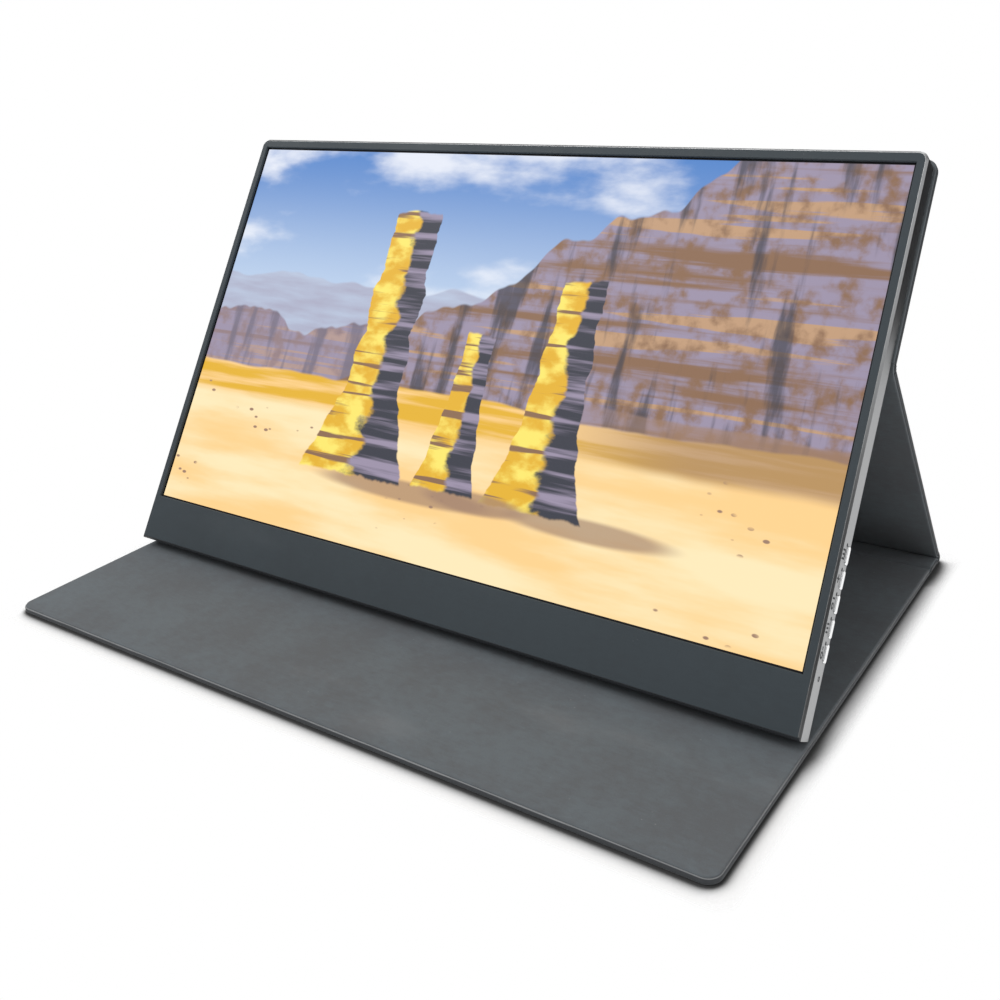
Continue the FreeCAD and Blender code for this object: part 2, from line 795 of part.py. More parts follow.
def rear_shell():
    """The housing's back and walls. Its upper corners are rounded and its lower ones square."""
    shell, outside = plate(
        "housing",
        monitor_frame,
        ("housing_width", "housing_height", "housing_depth"),
        ("-housing_width / 2", "0", "0"),
        "housing_corner",
        FAR_CORNERS,
    )
    rounded = soften(shell, "Fillet", outside, rim(outside, "Z", "Min"), "back_round")
    soften(shell, "Chamfer", rounded, rim(rounded, "Z", "Max"), "front_chamfer")
    hollow(shell, "bezel_seat", "rim_thickness", "bezel_thickness", "housing_corner - rim_thickness",
           FAR_CORNERS)
    hollow(shell, "cavity", "inner_margin", "housing_depth - back_thickness", "cavity_corner",
           ALL_CORNERS)
    for number, middle in enumerate(BOARD_POSTS):
        post(shell, f"board_post_{number}", middle, "post_radius", "board_back")
    for number, place in enumerate(EAR_PLACES):
        post(shell, f"ear_post_{number}", (place, "ear_middle"), "ear_post_radius", "tray_back")
    key_openings(shell)
    socket_openings(shell)
    sound_holes(shell)
    finished(shell, "rear_shell")


# Front of the monitor: bezel and the display behind it

def front_bezel():
    """The thin frame round the picture, with a stiffening rib behind its chin."""
    bezel, frame_plate = plate(
        "bezel",
        monitor_frame,
        ("housing_width - 2 * bezel_margin", "housing_height - 2 * bezel_margin", "bezel_thickness"),
        ("-housing_width / 2 + bezel_margin", "bezel_margin", "bezel_back"),
        "housing_corner - bezel_margin",
        FAR_CORNERS,
    )
    window = opening(bezel, "window", ("window_width", "window_height"),
                     ("-window_width / 2", "window_bottom", "housing_depth"), "bezel_thickness")
    soften(bezel, "Chamfer", window, inner_rim(window), "window_chamfer")
    rib = make_sketch(bezel, "chin_rib", (
        "-housing_width / 2 + rib_end_margin", "rib_inset", "bezel_back - rib_depth"))
    draw_outline(rib, "housing_width - 2 * rib_end_margin", "rib_thickness")
    pad(bezel, rib, "rib_depth")
    finished(bezel, "front_bezel")


def layer(label, width, bottom, height, low, thickness):
    """One flat layer of the display, centred across the monitor."""
    item = block(label + "_layer", monitor_frame, (width, height, thickness),
                 (f"-({width}) / 2", bottom, low))
    finished(item, label)


def bezel_tape():
    """The adhesive frame between the display's front and the bezel."""
    outside = block("tape_outside", monitor_frame, ("module_width", "module_height", "tape_thickness"),
                    ("-module_width / 2", "module_bottom", "tape_back"))
    inside = block("tape_inside", monitor_frame, ("window_width", "window_height", "tape_thickness"),
                   ("-window_width / 2", "window_bottom", "tape_back"))
    finished(cut("tape_frame", outside, inside), "bezel_tape")


def display_layers():
    """The flat layers of the display, front to back."""
    layer("front_polarizer", "(picture_width + 2 * polarizer_margin)", "chin_height - polarizer_margin",
          "picture_height + 2 * polarizer_margin", "polarizer_back", "polarizer_thickness")
    layer("lcd_cell", "module_width", "module_bottom", "module_height", "glass_back", "glass_thickness")
    for label, low, thickness in (("diffuser", "diffuser_back", "film_thickness"),
                                  ("prism_sheet", "prism_back", "film_thickness"),
                                  ("light_guide", "guide_back", "guide_thickness"),
                                  ("reflector", "reflector_back", "film_thickness")):
        layer(label, "film_width", "film_bottom", "film_height", low, thickness)
    layer("led_bar", "film_width", "module_bottom + tray_wall + light_bar_gap", "light_bar_width",
          "reflector_back", "guide_thickness + film_thickness")


def panel_tray():
    """The thin metal tray under the display, with screw ears along its lower edge."""
    tray, _ = plate(
        "tray",
        monitor_frame,
        ("module_width", "module_height", "glass_back - tray_back"),
        ("-module_width / 2", "module_bottom", "tray_back"),
    )
    opening(tray, "tray_inside", ("module_width - 2 * tray_wall", "module_height - 2 * tray_wall"),
            ("-module_width / 2 + tray_wall", "module_bottom + tray_wall", "glass_back"),
            "glass_back - reflector_back")
    for number, place in enumerate(EAR_PLACES):
        ear = make_sketch(tray, f"ear_{number}", (
            f"{place} - ear_width / 2", "module_bottom - ear_length", "tray_back"))
        draw_outline(ear, "ear_width", "ear_length + tray_wall", "ear_corner", NEAR_CORNERS)
        pad(tray, ear, "tray_thickness")
        hole = make_sketch(tray, f"ear_hole_{number}", (place, "ear_middle", "reflector_back"))
        draw_circle(hole, "bore", "screw_radius + screw_clearance")
        pocket(tray, hole, "tray_thickness")
    finished(tray, "panel_tray")


def screws(label, middles, under_head):
    """Small flat-headed screws along Z, with the undersides of their heads at one level."""
    items = []
    for number, middle in enumerate(middles):
        shank = rod(f"{label}_shank_{number}", monitor_frame, "screw_radius", "screw_length",
                    (*middle, f"{under_head} - screw_length"))
        head = rod(f"{label}_head_{number}", monitor_frame, "screw_head_radius", "screw_head_height",
                   (*middle, under_head))
        items.append(joined(f"{label}_{number}", [shank, head]))
    finished(group(label, items), label)


def driver_board():
    """The narrow driver board behind the display's lower edge."""
    size = ("panel_board_width", "panel_board_depth", "panel_board_thickness")
    corner = ("-panel_board_width / 2", "panel_board_bottom", "board_back")
    finished(block("driver_board", monitor_frame, size, corner), "panel_board")


def panel_flexes():
    """Flexes that wrap round the display's lower edge, from the glass to the driver board."""
    items = []
    low = "board_back - flex_thickness"
    for number, share in enumerate(FLEX_PLACE_SHARES):
        left = f"{share} * module_width - flex_width / 2"
        front = block(f"flex_front_{number}", monitor_frame,
                      ("flex_width", "module_bottom + flex_lap - flex_outside", "flex_thickness"),
                      (left, "flex_outside", "polarizer_back"))
        drop = block(f"flex_drop_{number}", monitor_frame,
                     ("flex_width", "flex_thickness", "polarizer_back - board_back + 2 * flex_thickness"),
                     (left, "flex_outside", low))
        back = block(f"flex_back_{number}", monitor_frame,
                     ("flex_width", "panel_board_bottom + flex_lap - flex_outside", "flex_thickness"),
                     (left, "flex_outside", low))
        items.append(joined(f"flex_{number}", [front, drop, back]))
    finished(group("flexes", items), "panel_flexes")


# Main board and the sockets on it

def main_board():
    """The main board, with a hole over each of its posts."""
    board, _ = plate(
        "logic_board",
        monitor_frame,
        ("main_board_width", "main_board_length", "main_board_thickness"),
        ("main_board_left", "main_board_bottom", "board_back"),
    )
    for number, middle in enumerate(BOARD_POSTS):
        hole = make_sketch(board, f"board_hole_{number}", (*middle, "board_front"))
        draw_circle(hole, "bore", "screw_radius + screw_clearance")
        pocket(board, hole, "main_board_thickness")
    finished(board, "main_board")


def board_parts():
    """The shield can, the scaler under it and the smaller chips, all on the board's back face."""
    can, _ = plate("can", monitor_frame, ("can_width", "can_length", "can_height"),
                   ("can_left", "can_bottom", "board_back - can_height"))
    opening(can, "can_inside", ("can_width - 2 * can_wall", "can_length - 2 * can_wall"),
            ("can_left + can_wall", "can_bottom + can_wall", "board_back"), "can_height - can_wall")
    finished(can, "shield_can")
    scaler = centred_block("scaler", monitor_frame, ("scaler_size", "scaler_size", "scaler_height"),
                           ("can_left + can_width / 2", "can_bottom + can_length / 2"),
                           "board_back - scaler_height")
    finished(scaler, "scaler_chip")
    chips = [centred_block(f"chip_{number}", monitor_frame, ("chip_size", "chip_size", "chip_height"),
                           (f"main_board_left + {across} * main_board_width",
                            f"main_board_bottom + {up} * main_board_length"), "board_back - chip_height")
             for number, (across, up) in enumerate(CHIP_PLACE_SHARES)]
    finished(group("chips", chips), "board_chips")


def socket_shell(label, kind, place):
    """A metal socket shell with its mouth in the left wall; kind names its sizes."""
    width, height, corner, depth = (f"{kind}_{size}" for size in ("width", "height", "corner", "depth"))
    shell = make_body(label + "_shell", monitor_frame)
    outline = make_sketch(shell, label + "_outline", (
        f"{place} - {width} / 2", f"board_back - {height}", "port_mouth"), "YZ_Plane")
    draw_outline(outline, width, height, corner, ALL_CORNERS)
    pad(shell, outline, depth)
    inside = (f"{width} - 2 * shell_wall", f"{height} - 2 * shell_wall")
    wall_opening(shell, label + "_inside", inside, (place, socket_level(kind)),
                 f"port_mouth + {depth} - shell_back", f"{depth} - shell_back", f"{corner} - shell_wall")
    finished(shell, label)


def tongue(label, kind, place):
    """The contact tongue inside a socket shell."""
    size = (f"{kind}_depth - tongue_setback - shell_back",
            f"{kind}_width - 2 * shell_wall - 2 * tongue_side_gap", "tongue_thickness")
    corner = ("port_mouth + tongue_setback", f"{place} - ({size[1]}) / 2",
              f"{socket_level(kind)} - tongue_thickness / 2")
    return block(label + "_tongue", monitor_frame, size, corner)


def audio_jack():
    """The round headphone socket beside the main board."""
    jack = make_body("jack", monitor_frame)
    case = make_sketch(jack, "jack_case", (
        "jack_place - jack_width / 2", "port_level - jack_height / 2", "main_board_left"), "YZ_Plane")
    draw_outline(case, "jack_width", "jack_height")
    pad(jack, case, "jack_length")
    nose = make_sketch(jack, "jack_nose", ("jack_place", "port_level", "port_mouth"), "YZ_Plane")
    draw_circle(nose, "outside", "jack_nose_radius")
    pad(jack, nose, "main_board_left - port_mouth")
    bore = make_sketch(jack, "jack_bore", (
        "jack_place", "port_level", "port_mouth + jack_bore_depth"), "YZ_Plane")
    draw_circle(bore, "bore", "jack_bore_radius")
    pocket(jack, bore, "jack_bore_depth")
    finished(jack, "audio_jack")


# Keys, their switches and the status light in the right wall

KEYS = ("power_key", "menu_key", "minus_key", "plus_key", "source_key")


def key(label, place):
    """One sliding key: its cap in the wall and the flange that keeps it in."""
    body = make_body(label + "_body", monitor_frame)
    cap = make_sketch(body, label + "_cap", (
        f"{place} - key_length / 2", "key_level - key_width / 2", "flange_inner"), "YZ_Plane")
    draw_outline(cap, "key_length", "key_width", "key_corner", ALL_CORNERS)
    cap_pad = pad(body, cap, "housing_width / 2 + key_stand - flange_inner")
    soften(body, "Fillet", cap_pad, rim(cap_pad, "X", "Max"), "key_edge_round")
    flange = make_sketch(body, label + "_flange", (
        f"{place} - key_length / 2 - flange_margin", "key_level - key_width / 2 - flange_margin",
        "flange_inner"), "YZ_Plane")
    draw_outline(flange, "key_length + 2 * flange_margin", "key_width + 2 * flange_margin",
                 "key_corner + flange_margin", ALL_CORNERS)
    pad(body, flange, "flange_thickness")
    finished(body, label)


def key_electronics():
    """The upright board behind the keys, its switches and the light pipe of the status light."""
    size = ("key_board_thickness", "key_board_top - key_board_bottom", "key_board_height")
    corner = ("key_board_inner", "key_board_bottom", "back_thickness")
    finished(block("key_circuit", monitor_frame, size, corner), "key_board")
    size = ("switch_thickness", "switch_width", "switch_width")
    switches = [block(f"switch_{number}", monitor_frame, size,
                      ("key_board_outer", f"{place} - switch_width / 2", "key_level - switch_width / 2"))
                for number, place in enumerate(KEY_PLACES)]
    finished(group("switches", switches), "key_switches")
    pipe = rod("light_pipe", monitor_frame, "light_radius - light_clearance",
               "housing_width / 2 - key_board_outer", ("key_board_outer", "light_height", "light_level"),
               ALONG_X)
    finished(pipe, "status_light")


# Speakers, cables and the housing's own magnets

def speaker(side, sign):
    """A flat speaker, with its membrane sunk into the face towards the back skin."""
    left = f"{sign}speaker_place - speaker_length / 2"
    case, _ = plate(side + "_case", monitor_frame, ("speaker_length", "speaker_width", "speaker_height"),
                    (left, "speaker_inset", "speaker_back"), "speaker_corner", ALL_CORNERS)
    opening(case, side + "_membrane", ("speaker_length - 2 * gasket_rim", "speaker_width - 2 * gasket_rim"),
            (f"{left} + gasket_rim", "speaker_inset + gasket_rim", "speaker_back + membrane_depth"),
            "membrane_depth")
    finished(case, "speaker_" + side)


def gasket(side, sign):
    """The foam frame between a speaker and the back skin."""
    left = f"{sign}speaker_place - speaker_length / 2"
    outside = block(side + "_foam", monitor_frame, ("speaker_length", "speaker_width", "gasket_thickness"),
                    (left, "speaker_inset", "back_thickness"))
    inside = block(side + "_foam_hole", monitor_frame,
                   ("speaker_length - 2 * gasket_rim", "speaker_width - 2 * gasket_rim", "gasket_thickness"),
                   (f"{left} + gasket_rim", "speaker_inset + gasket_rim", "back_thickness"))
    return cut(side + "_gasket", outside, inside)


def speaker_wires():
    """The wires from both speakers to the main board's lower edge."""
    left_wire = rod("left_wire", monitor_frame, "wire_radius", "wire_end - speaker_top",
                    ("main_board_right - left_wire_inset", "speaker_top", "wire_level"), ALONG_Y)
    rise = rod("wire_rise", monitor_frame, "wire_radius", "wire_run_height - speaker_top",
               ("wire_start", "speaker_top", "wire_level"), ALONG_Y)
    run = rod("wire_run", monitor_frame, "wire_radius", "wire_start - wire_turn",
              ("wire_turn", "wire_run_height", "wire_level"), ALONG_X)
    end = rod("wire_entry", monitor_frame, "wire_radius", "wire_end - wire_run_height",
              ("wire_turn", "wire_run_height", "wire_level"), ALONG_Y)
    bends = [ball(place + "_bend", monitor_frame, "wire_radius", (place, "wire_run_height", "wire_level"))
             for place in ("wire_start", "wire_turn")]
    right_wire = joined("right_wire", [rise, bends[0], run, bends[1], end])
    finished(group("wires", [left_wire, right_wire]), "speaker_wires")


def flat_cables():
    """The flat cable to the display's driver board and the ribbon to the key board."""
    low = "board_back - cable_thickness"
    cable = block("display_cable", monitor_frame,
                  ("cable_width", "main_board_bottom - panel_board_top + 2 * cable_lap", "cable_thickness"),
                  ("main_board_right - cable_inset - cable_width", "panel_board_top - cable_lap", low))
    finished(cable, "panel_cable")
    ribbon = block("key_cable", monitor_frame,
                   ("key_board_inner - main_board_right + cable_lap", "ribbon_width", "cable_thickness"),
                   ("main_board_right - cable_lap", "ribbon_place - ribbon_width / 2", low))
    finished(ribbon, "key_ribbon")


rear_shell()
front_bezel()
bezel_tape()
display_layers()
panel_tray()
screws("panel_screws", [(place, "ear_middle") for place in EAR_PLACES], "reflector_back")
driver_board()
panel_flexes()
main_board()
board_parts()
for socket in SOCKETS:
    socket_shell(*socket)
finished(group("tongues", [tongue(*socket) for socket in SOCKETS]), "port_tongues")
audio_jack()
screws("board_screws", BOARD_POSTS, "board_front")
for label, place in zip(KEYS, KEY_PLACES):
    key(label, place)
key_electronics()
for side, sign in SIDES:
    speaker(side, sign)
finished(group("gaskets", [gasket(side, sign) for side, sign in SIDES]), "speaker_gaskets")
speaker_wires()
flat_cables()
magnet_row("housing_magnets", monitor_frame, "magnet_height", "back_thickness", "magnet_thickness")


# Checks and files

doc.recompute()
for item in doc.Objects:
    if "Invalid" in item.State or "Error" in item.State:
        raise RuntimeError(f"{item.Name} failed: {item.State}")
for item in sub_parts:
    if item.Shape.isNull() or not item.Shape.isValid() or not item.Shape.Solids:
        raise RuntimeError(f"{item.Label} has no valid solid")

os.makedirs("parts", exist_ok=True)
for item in sub_parts:
    item.Shape.exportStep(f"parts/{item.Label}.step")
print(len(sub_parts), "sub-parts written")
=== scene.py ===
import logging
import math
from dataclasses import dataclass
from enum import Enum
from typing import Callable, Optional, Sequence, Union

import bmesh
import bpy
from mathutils import Matrix, Vector


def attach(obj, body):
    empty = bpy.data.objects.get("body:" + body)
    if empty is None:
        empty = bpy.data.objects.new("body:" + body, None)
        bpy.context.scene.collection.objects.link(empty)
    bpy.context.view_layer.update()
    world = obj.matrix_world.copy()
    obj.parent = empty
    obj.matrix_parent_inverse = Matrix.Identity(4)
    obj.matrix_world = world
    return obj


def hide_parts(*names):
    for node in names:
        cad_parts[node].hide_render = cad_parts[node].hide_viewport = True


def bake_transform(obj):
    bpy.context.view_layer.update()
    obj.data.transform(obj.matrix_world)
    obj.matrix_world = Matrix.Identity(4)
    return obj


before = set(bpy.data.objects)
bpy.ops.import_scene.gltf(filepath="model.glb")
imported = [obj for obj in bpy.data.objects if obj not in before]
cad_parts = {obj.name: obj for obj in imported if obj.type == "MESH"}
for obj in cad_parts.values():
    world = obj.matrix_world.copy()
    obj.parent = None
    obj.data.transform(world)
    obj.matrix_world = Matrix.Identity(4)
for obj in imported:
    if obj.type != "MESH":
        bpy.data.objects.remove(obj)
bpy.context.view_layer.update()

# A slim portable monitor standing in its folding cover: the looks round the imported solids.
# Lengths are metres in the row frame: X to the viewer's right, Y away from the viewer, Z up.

MM = 0.001
LOG = logging.getLogger("portable_monitor")

Color = tuple[float, float, float]
Spot = tuple[float, float, float]
Material = bpy.types.Material
Piece = bpy.types.Object
Tree = bpy.types.NodeTree
Test = Callable[[Vector, Vector], bool]
Element = Union[bmesh.types.BMVert, bmesh.types.BMEdge, bmesh.types.BMFace]


@dataclass(frozen=True)
class Place:
    """A flat working frame on the plane of symmetry, turned about X."""

    y: float
    z: float
    turn: float = 0.0

    def matrix(self) -> Matrix:
        """The change from this frame to the row frame."""
        return Matrix.Translation((0.0, self.y, self.z)) @ Matrix.Rotation(self.turn, 4, "X")

    def spot(self, x: float, y: float, z: float) -> Spot:
        """A point of this frame, in the row frame."""
        return tuple(self.matrix() @ Vector((x, y, z)))


STRUT_TURN = math.radians(127.594)
SCREEN_TURN = math.radians(57.8)
FOLD_TURN = STRUT_TURN - SCREEN_TURN
BASE = Place(0.10825, 0.0015)
STRUT = Place(0.12325, 0.0015, STRUT_TURN)
UPPER = Place(0.0314871, 0.1205129, SCREEN_TURN)
MONITOR = Place(-0.044385, 0.002845, SCREEN_TURN)
# Name of the mesh attribute that marks where the painted rim highlight goes.
RIM_HIGHLIGHT = "rim"
SMOOTH_ANGLE = math.radians(40.0)
# The housing's dark back colour, painted shade along its rear edge and lower wall: where it reaches, its soft
# edge and its added roughness.
BACK_SHADE_LEVEL = 0.0013
BACK_SHADE_EDGE = 0.0001
BACK_SHADE_ROUGHNESS = 0.2
SIDE_WALL = 0.1766
# How much the pebbled valleys and the brushed streaks are darkened, and the share of colour they keep; in the
# valleys this is painted shade.
VALLEY_SHADE_SHARE = 0.22
VALLEY_SHADE_TONE = 0.55
DUST_LIFT = 0.1
METAL_SPREAD = 0.008
MATT_SPREAD = 0.05
ROUND = 96


class Pick(Enum):
    """What a selection in edit mode is made of."""

    POINTS = "VERT"
    EDGES = "EDGE"
    FACES = "FACE"


class Workpiece:
    """A mesh that is shaped in edit mode, in the flat frame of its sub-assembly."""

    def __init__(self, name: str, low: Spot, high: Spot) -> None:
        """Adds a block and opens it for editing.

        Args:
            name: The piece's name.
            low: The block's lowest corner.
            high: The block's highest corner.
        """
        bpy.ops.object.select_all(action="DESELECT")
        middle = [(a + b) / 2 for a, b in zip(low, high)]
        bpy.ops.mesh.primitive_cube_add(size=1.0, location=middle)
        self.piece = bpy.context.active_object
        self.piece.name = name
        self.piece.data.name = name
        self.piece.scale = [b - a for a, b in zip(low, high)]
        bpy.ops.object.transform_apply(location=True, rotation=True, scale=True)
        bpy.ops.object.mode_set(mode="EDIT")

    def pick(self, kind: Pick, test: Test) -> None:
        """Selects the elements that pass a test, and nothing else.

        Args:
            kind: What is selected.
            test: Takes an element's middle and its normal, or an edge's direction.
        """
        bpy.ops.mesh.select_mode(type=kind.value)
        bpy.ops.mesh.select_all(action="DESELECT")
        mesh = bmesh.from_edit_mesh(self.piece.data)
        for item in {Pick.POINTS: mesh.verts, Pick.EDGES: mesh.edges, Pick.FACES: mesh.faces}[kind]:
            item.select_set(test(*self._traits(item)))
        mesh.select_flush_mode()
        bmesh.update_edit_mesh(self.piece.data)

    @staticmethod
    def _traits(item: Element) -> tuple[Vector, Vector]:
        """Finds what the tests look at.

        Args:
            item: A vertex, an edge or a face.

        Returns:
            Its middle, and its normal or an edge's direction.
        """
        if isinstance(item, bmesh.types.BMVert):
            return item.co, item.normal
        if isinstance(item, bmesh.types.BMFace):
            return item.calc_center_median(), item.normal
        first, second = (point.co for point in item.verts)
        return (first + second) / 2, (second - first).normalized()

    def bevel(self, width: float, segments: int) -> None:
        """Rounds the selected edges."""
        bpy.ops.mesh.bevel(offset=width, segments=segments, profile=0.5, affect="EDGES")

    def inset(self, width: float) -> None:
        """Insets the selected faces as one."""
        bpy.ops.mesh.inset(thickness=width)

    def extrude(self, step: Spot) -> None:
        """Extrudes the selected faces."""
        bpy.ops.mesh.extrude_region_move(TRANSFORM_OT_translate={"value": step})

    def spin(self, center: Spot, angle: float, steps: int) -> None:
        """Sweeps the selected faces round an axis along X, from Y towards Z, against the operator's turn."""
        bpy.ops.mesh.spin(steps=steps, angle=-angle, center=center, axis=(1.0, 0.0, 0.0))

    def shift(self, step: Spot) -> None:
        """Moves what is selected."""
        bpy.ops.transform.translate(value=step)

    def slice(self, axis: int, places: Sequence[float]) -> None:
        """Cuts all faces on planes across an axis.

        Args:
            axis: 0 for planes across X, 1 across Y, 2 across Z.
            places: Where each plane lies on the axis.
        """
        normal = [0.0, 0.0, 0.0]
        normal[axis] = 1.0
        for place in places:
            bpy.ops.mesh.select_all(action="SELECT")
            bpy.ops.mesh.bisect(plane_co=[place * part for part in normal], plane_no=normal)

    def finish(self, place: Place) -> Piece:
        """Closes the piece, smooths it and puts it at its place.

        Args:
            place: The frame that the piece was shaped in.

        Returns:
            The finished object, at the origin with its place in its mesh.
        """
        bpy.ops.mesh.select_all(action="SELECT")
        bpy.ops.mesh.remove_doubles(threshold=MM / 1000)
        bpy.ops.mesh.normals_make_consistent(inside=False)
        bpy.ops.object.mode_set(mode="OBJECT")
        self.piece.matrix_world = place.matrix()
        bpy.ops.object.transform_apply(location=True, rotation=True, scale=True)
        bpy.ops.object.shade_smooth_by_angle(angle=SMOOTH_ANGLE)
        return self.piece


def operation(kind: str) -> Callable:
    """A method that puts a wire, and any other value, into a Math node of this kind."""
    return lambda wire, *others: wire.graph.math(kind, wire, *others)


class Wire:
    """A value in a node tree, which can be reckoned with: | is the larger, > and < give masks of 1 and 0."""

    def __init__(self, graph: "Graph", socket: bpy.types.NodeSocket) -> None:
        """Keeps the output socket and the graph that it belongs to."""
        self.graph = graph
        self.socket = socket

    def __rsub__(self, other: float) -> "Wire":
        """What is left of a number."""
        return self.graph.math("SUBTRACT", other, self)

    __add__ = operation("ADD")
    __sub__ = operation("SUBTRACT")
    __mul__ = operation("MULTIPLY")
    __truediv__ = operation("DIVIDE")
    __abs__ = operation("ABSOLUTE")
    __or__ = operation("MAXIMUM")
    __gt__ = operation("GREATER_THAN")
    __lt__ = operation("LESS_THAN")

    def step(self, low: float, high: float) -> "Wire":
        """A smooth step from 0 at low to 1 at high."""
        values = {"Value": self, "From Min": low, "From Max": high}
        return self.graph.out(self.graph.node("MapRange", values, interpolation_type="SMOOTHSTEP"), "Result")

    def spread(self, low: float, high: float) -> "Wire":
        """The value, from 0 to 1, spread between low and high."""
        values = {"Value": self, "To Min": low, "To Max": high}
        return self.graph.out(self.graph.node("MapRange", values), "Result")


class Graph:
    """A node tree, with short calls for the nodes that the finishes use."""

    def __init__(self, tree: Tree) -> None:
        """Keeps the tree that the nodes go into."""
        self.tree = tree

    def node(self, kind: str, values: Optional[dict] = None, **settings: object) -> bpy.types.Node:
        """Adds a node.

        Args:
            kind: The node's type, without the ShaderNode prefix.
            values: Wires or constants for its inputs, by name or number.
            settings: Attributes of the node.

        Returns:
            The new node.
        """
        made = self.tree.nodes.new("ShaderNode" + kind)
        for name, value in settings.items():
            setattr(made, name, value)
        self.feed(made, values or {})
        return made

    def feed(self, node: bpy.types.Node, values: dict) -> None:
        """Links wires into a node's inputs, or writes constants on them.

        Args:
            node: The node.
            values: Wires or constants, by the input's name or number.
        """
        for key, value in values.items():
            if isinstance(value, Wire):
                self.tree.links.new(value.socket, node.inputs[key])
            else:
                node.inputs[key].default_value = value

    def out(self, node: bpy.types.Node, key: object = 0) -> Wire:
        """One of a node's outputs, by name or number."""
        return Wire(self, node.outputs[key])

    def math(self, operation: str, *values: object, clamp: bool = False) -> Wire:
        """A Math node's result."""
        return self.out(self.node("Math", dict(enumerate(values)), operation=operation, use_clamp=clamp))

    def mix(self, factor: object, first: object, second: object) -> Wire:
        """A colour between two.

        Args:
            factor: 0 for the first colour, 1 for the second.
            first: A colour or a wire.
            second: A colour or a wire.

        Returns:
            The mixed colour.
        """
        values = {"Factor": factor, "A": self._rgba(first), "B": self._rgba(second)}
        made = self.node("Mix", values, data_type="RGBA")
        return Wire(self, next(out for out in made.outputs if out.type == "RGBA"))

    @staticmethod
    def _rgba(value: object) -> object:
        """A colour with its alpha; wires pass unchanged."""
        return value if isinstance(value, Wire) else (*value, 1.0)

    def between(self, factor: Wire, first: Wire, second: Wire) -> Wire:
        """A shader between two."""
        return self.out(self.node("MixShader", {0: factor, 1: first, 2: second}))

    def noise(self, vector: Wire, scale: object, detail: float = 2.0) -> Wire:
        """Noise from 0 to 1 at the vector."""
        return self.out(self.node("TexNoise", {"Vector": vector, "Scale": scale, "Detail": detail}), "Fac")

    def cells(self, vector: Wire, scale: object, feature: str = "F1") -> Wire:
        """The distance to the cells' points or edges."""
        values = {"Vector": vector, "Scale": scale}
        return self.out(self.node("TexVoronoi", values, feature=feature), "Distance")

    def place(self, vector: Wire, place: Place) -> Wire:
        """The vector seen from a flat frame."""
        values = {"Vector": vector, "Location": (0.0, place.y, place.z), "Rotation": (place.turn, 0.0, 0.0)}
        return self.out(self.node("Mapping", values, vector_type="TEXTURE"))

    def stretch(self, vector: Wire, scale: Spot) -> Wire:
        """The vector with each axis multiplied."""
        return self.out(self.node("Mapping", {"Vector": vector, "Scale": scale}))

    def split(self, vector: Wire) -> list[Wire]:
        """The vector's three parts."""
        return [Wire(self, part) for part in self.node("SeparateXYZ", {0: vector}).outputs]

    def join(self, *parts: object) -> Wire:
        """A vector of up to three parts."""
        return self.out(self.node("CombineXYZ", dict(enumerate(parts))))

    def bump(self, height: Wire, distance: float) -> Wire:
        """The normal over a relief, whose full height is the distance in metres."""
        return self.out(self.node("Bump", {"Height": height, "Distance": distance}), "Normal")

    def ray(self, kind: str) -> Wire:
        """1 for rays of a kind: Camera, Glossy or Transmission."""
        return self.out(self.node("LightPath"), f"Is {kind} Ray")

    def object_point(self) -> Wire:
        """Where the shaded point is on the object."""
        return self.out(self.node("TexCoord"), "Object")

    def effect(self, tree: Tree, **values: object) -> list[Wire]:
        """Places a shared effect, with wires or constants for its inputs, and gives its outputs in order."""
        return [Wire(self, part) for part in self.node("Group", values, node_tree=tree).outputs]


def new_material(name: str) -> tuple[Material, Graph, bpy.types.Node]:
    """Starts a material.

    Args:
        name: Its name.

    Returns:
        The material, its graph and its Principled BSDF.
    """
    made = bpy.data.materials.new(name)
    made.use_nodes = True
    return made, Graph(made.node_tree), made.node_tree.nodes["Principled BSDF"]


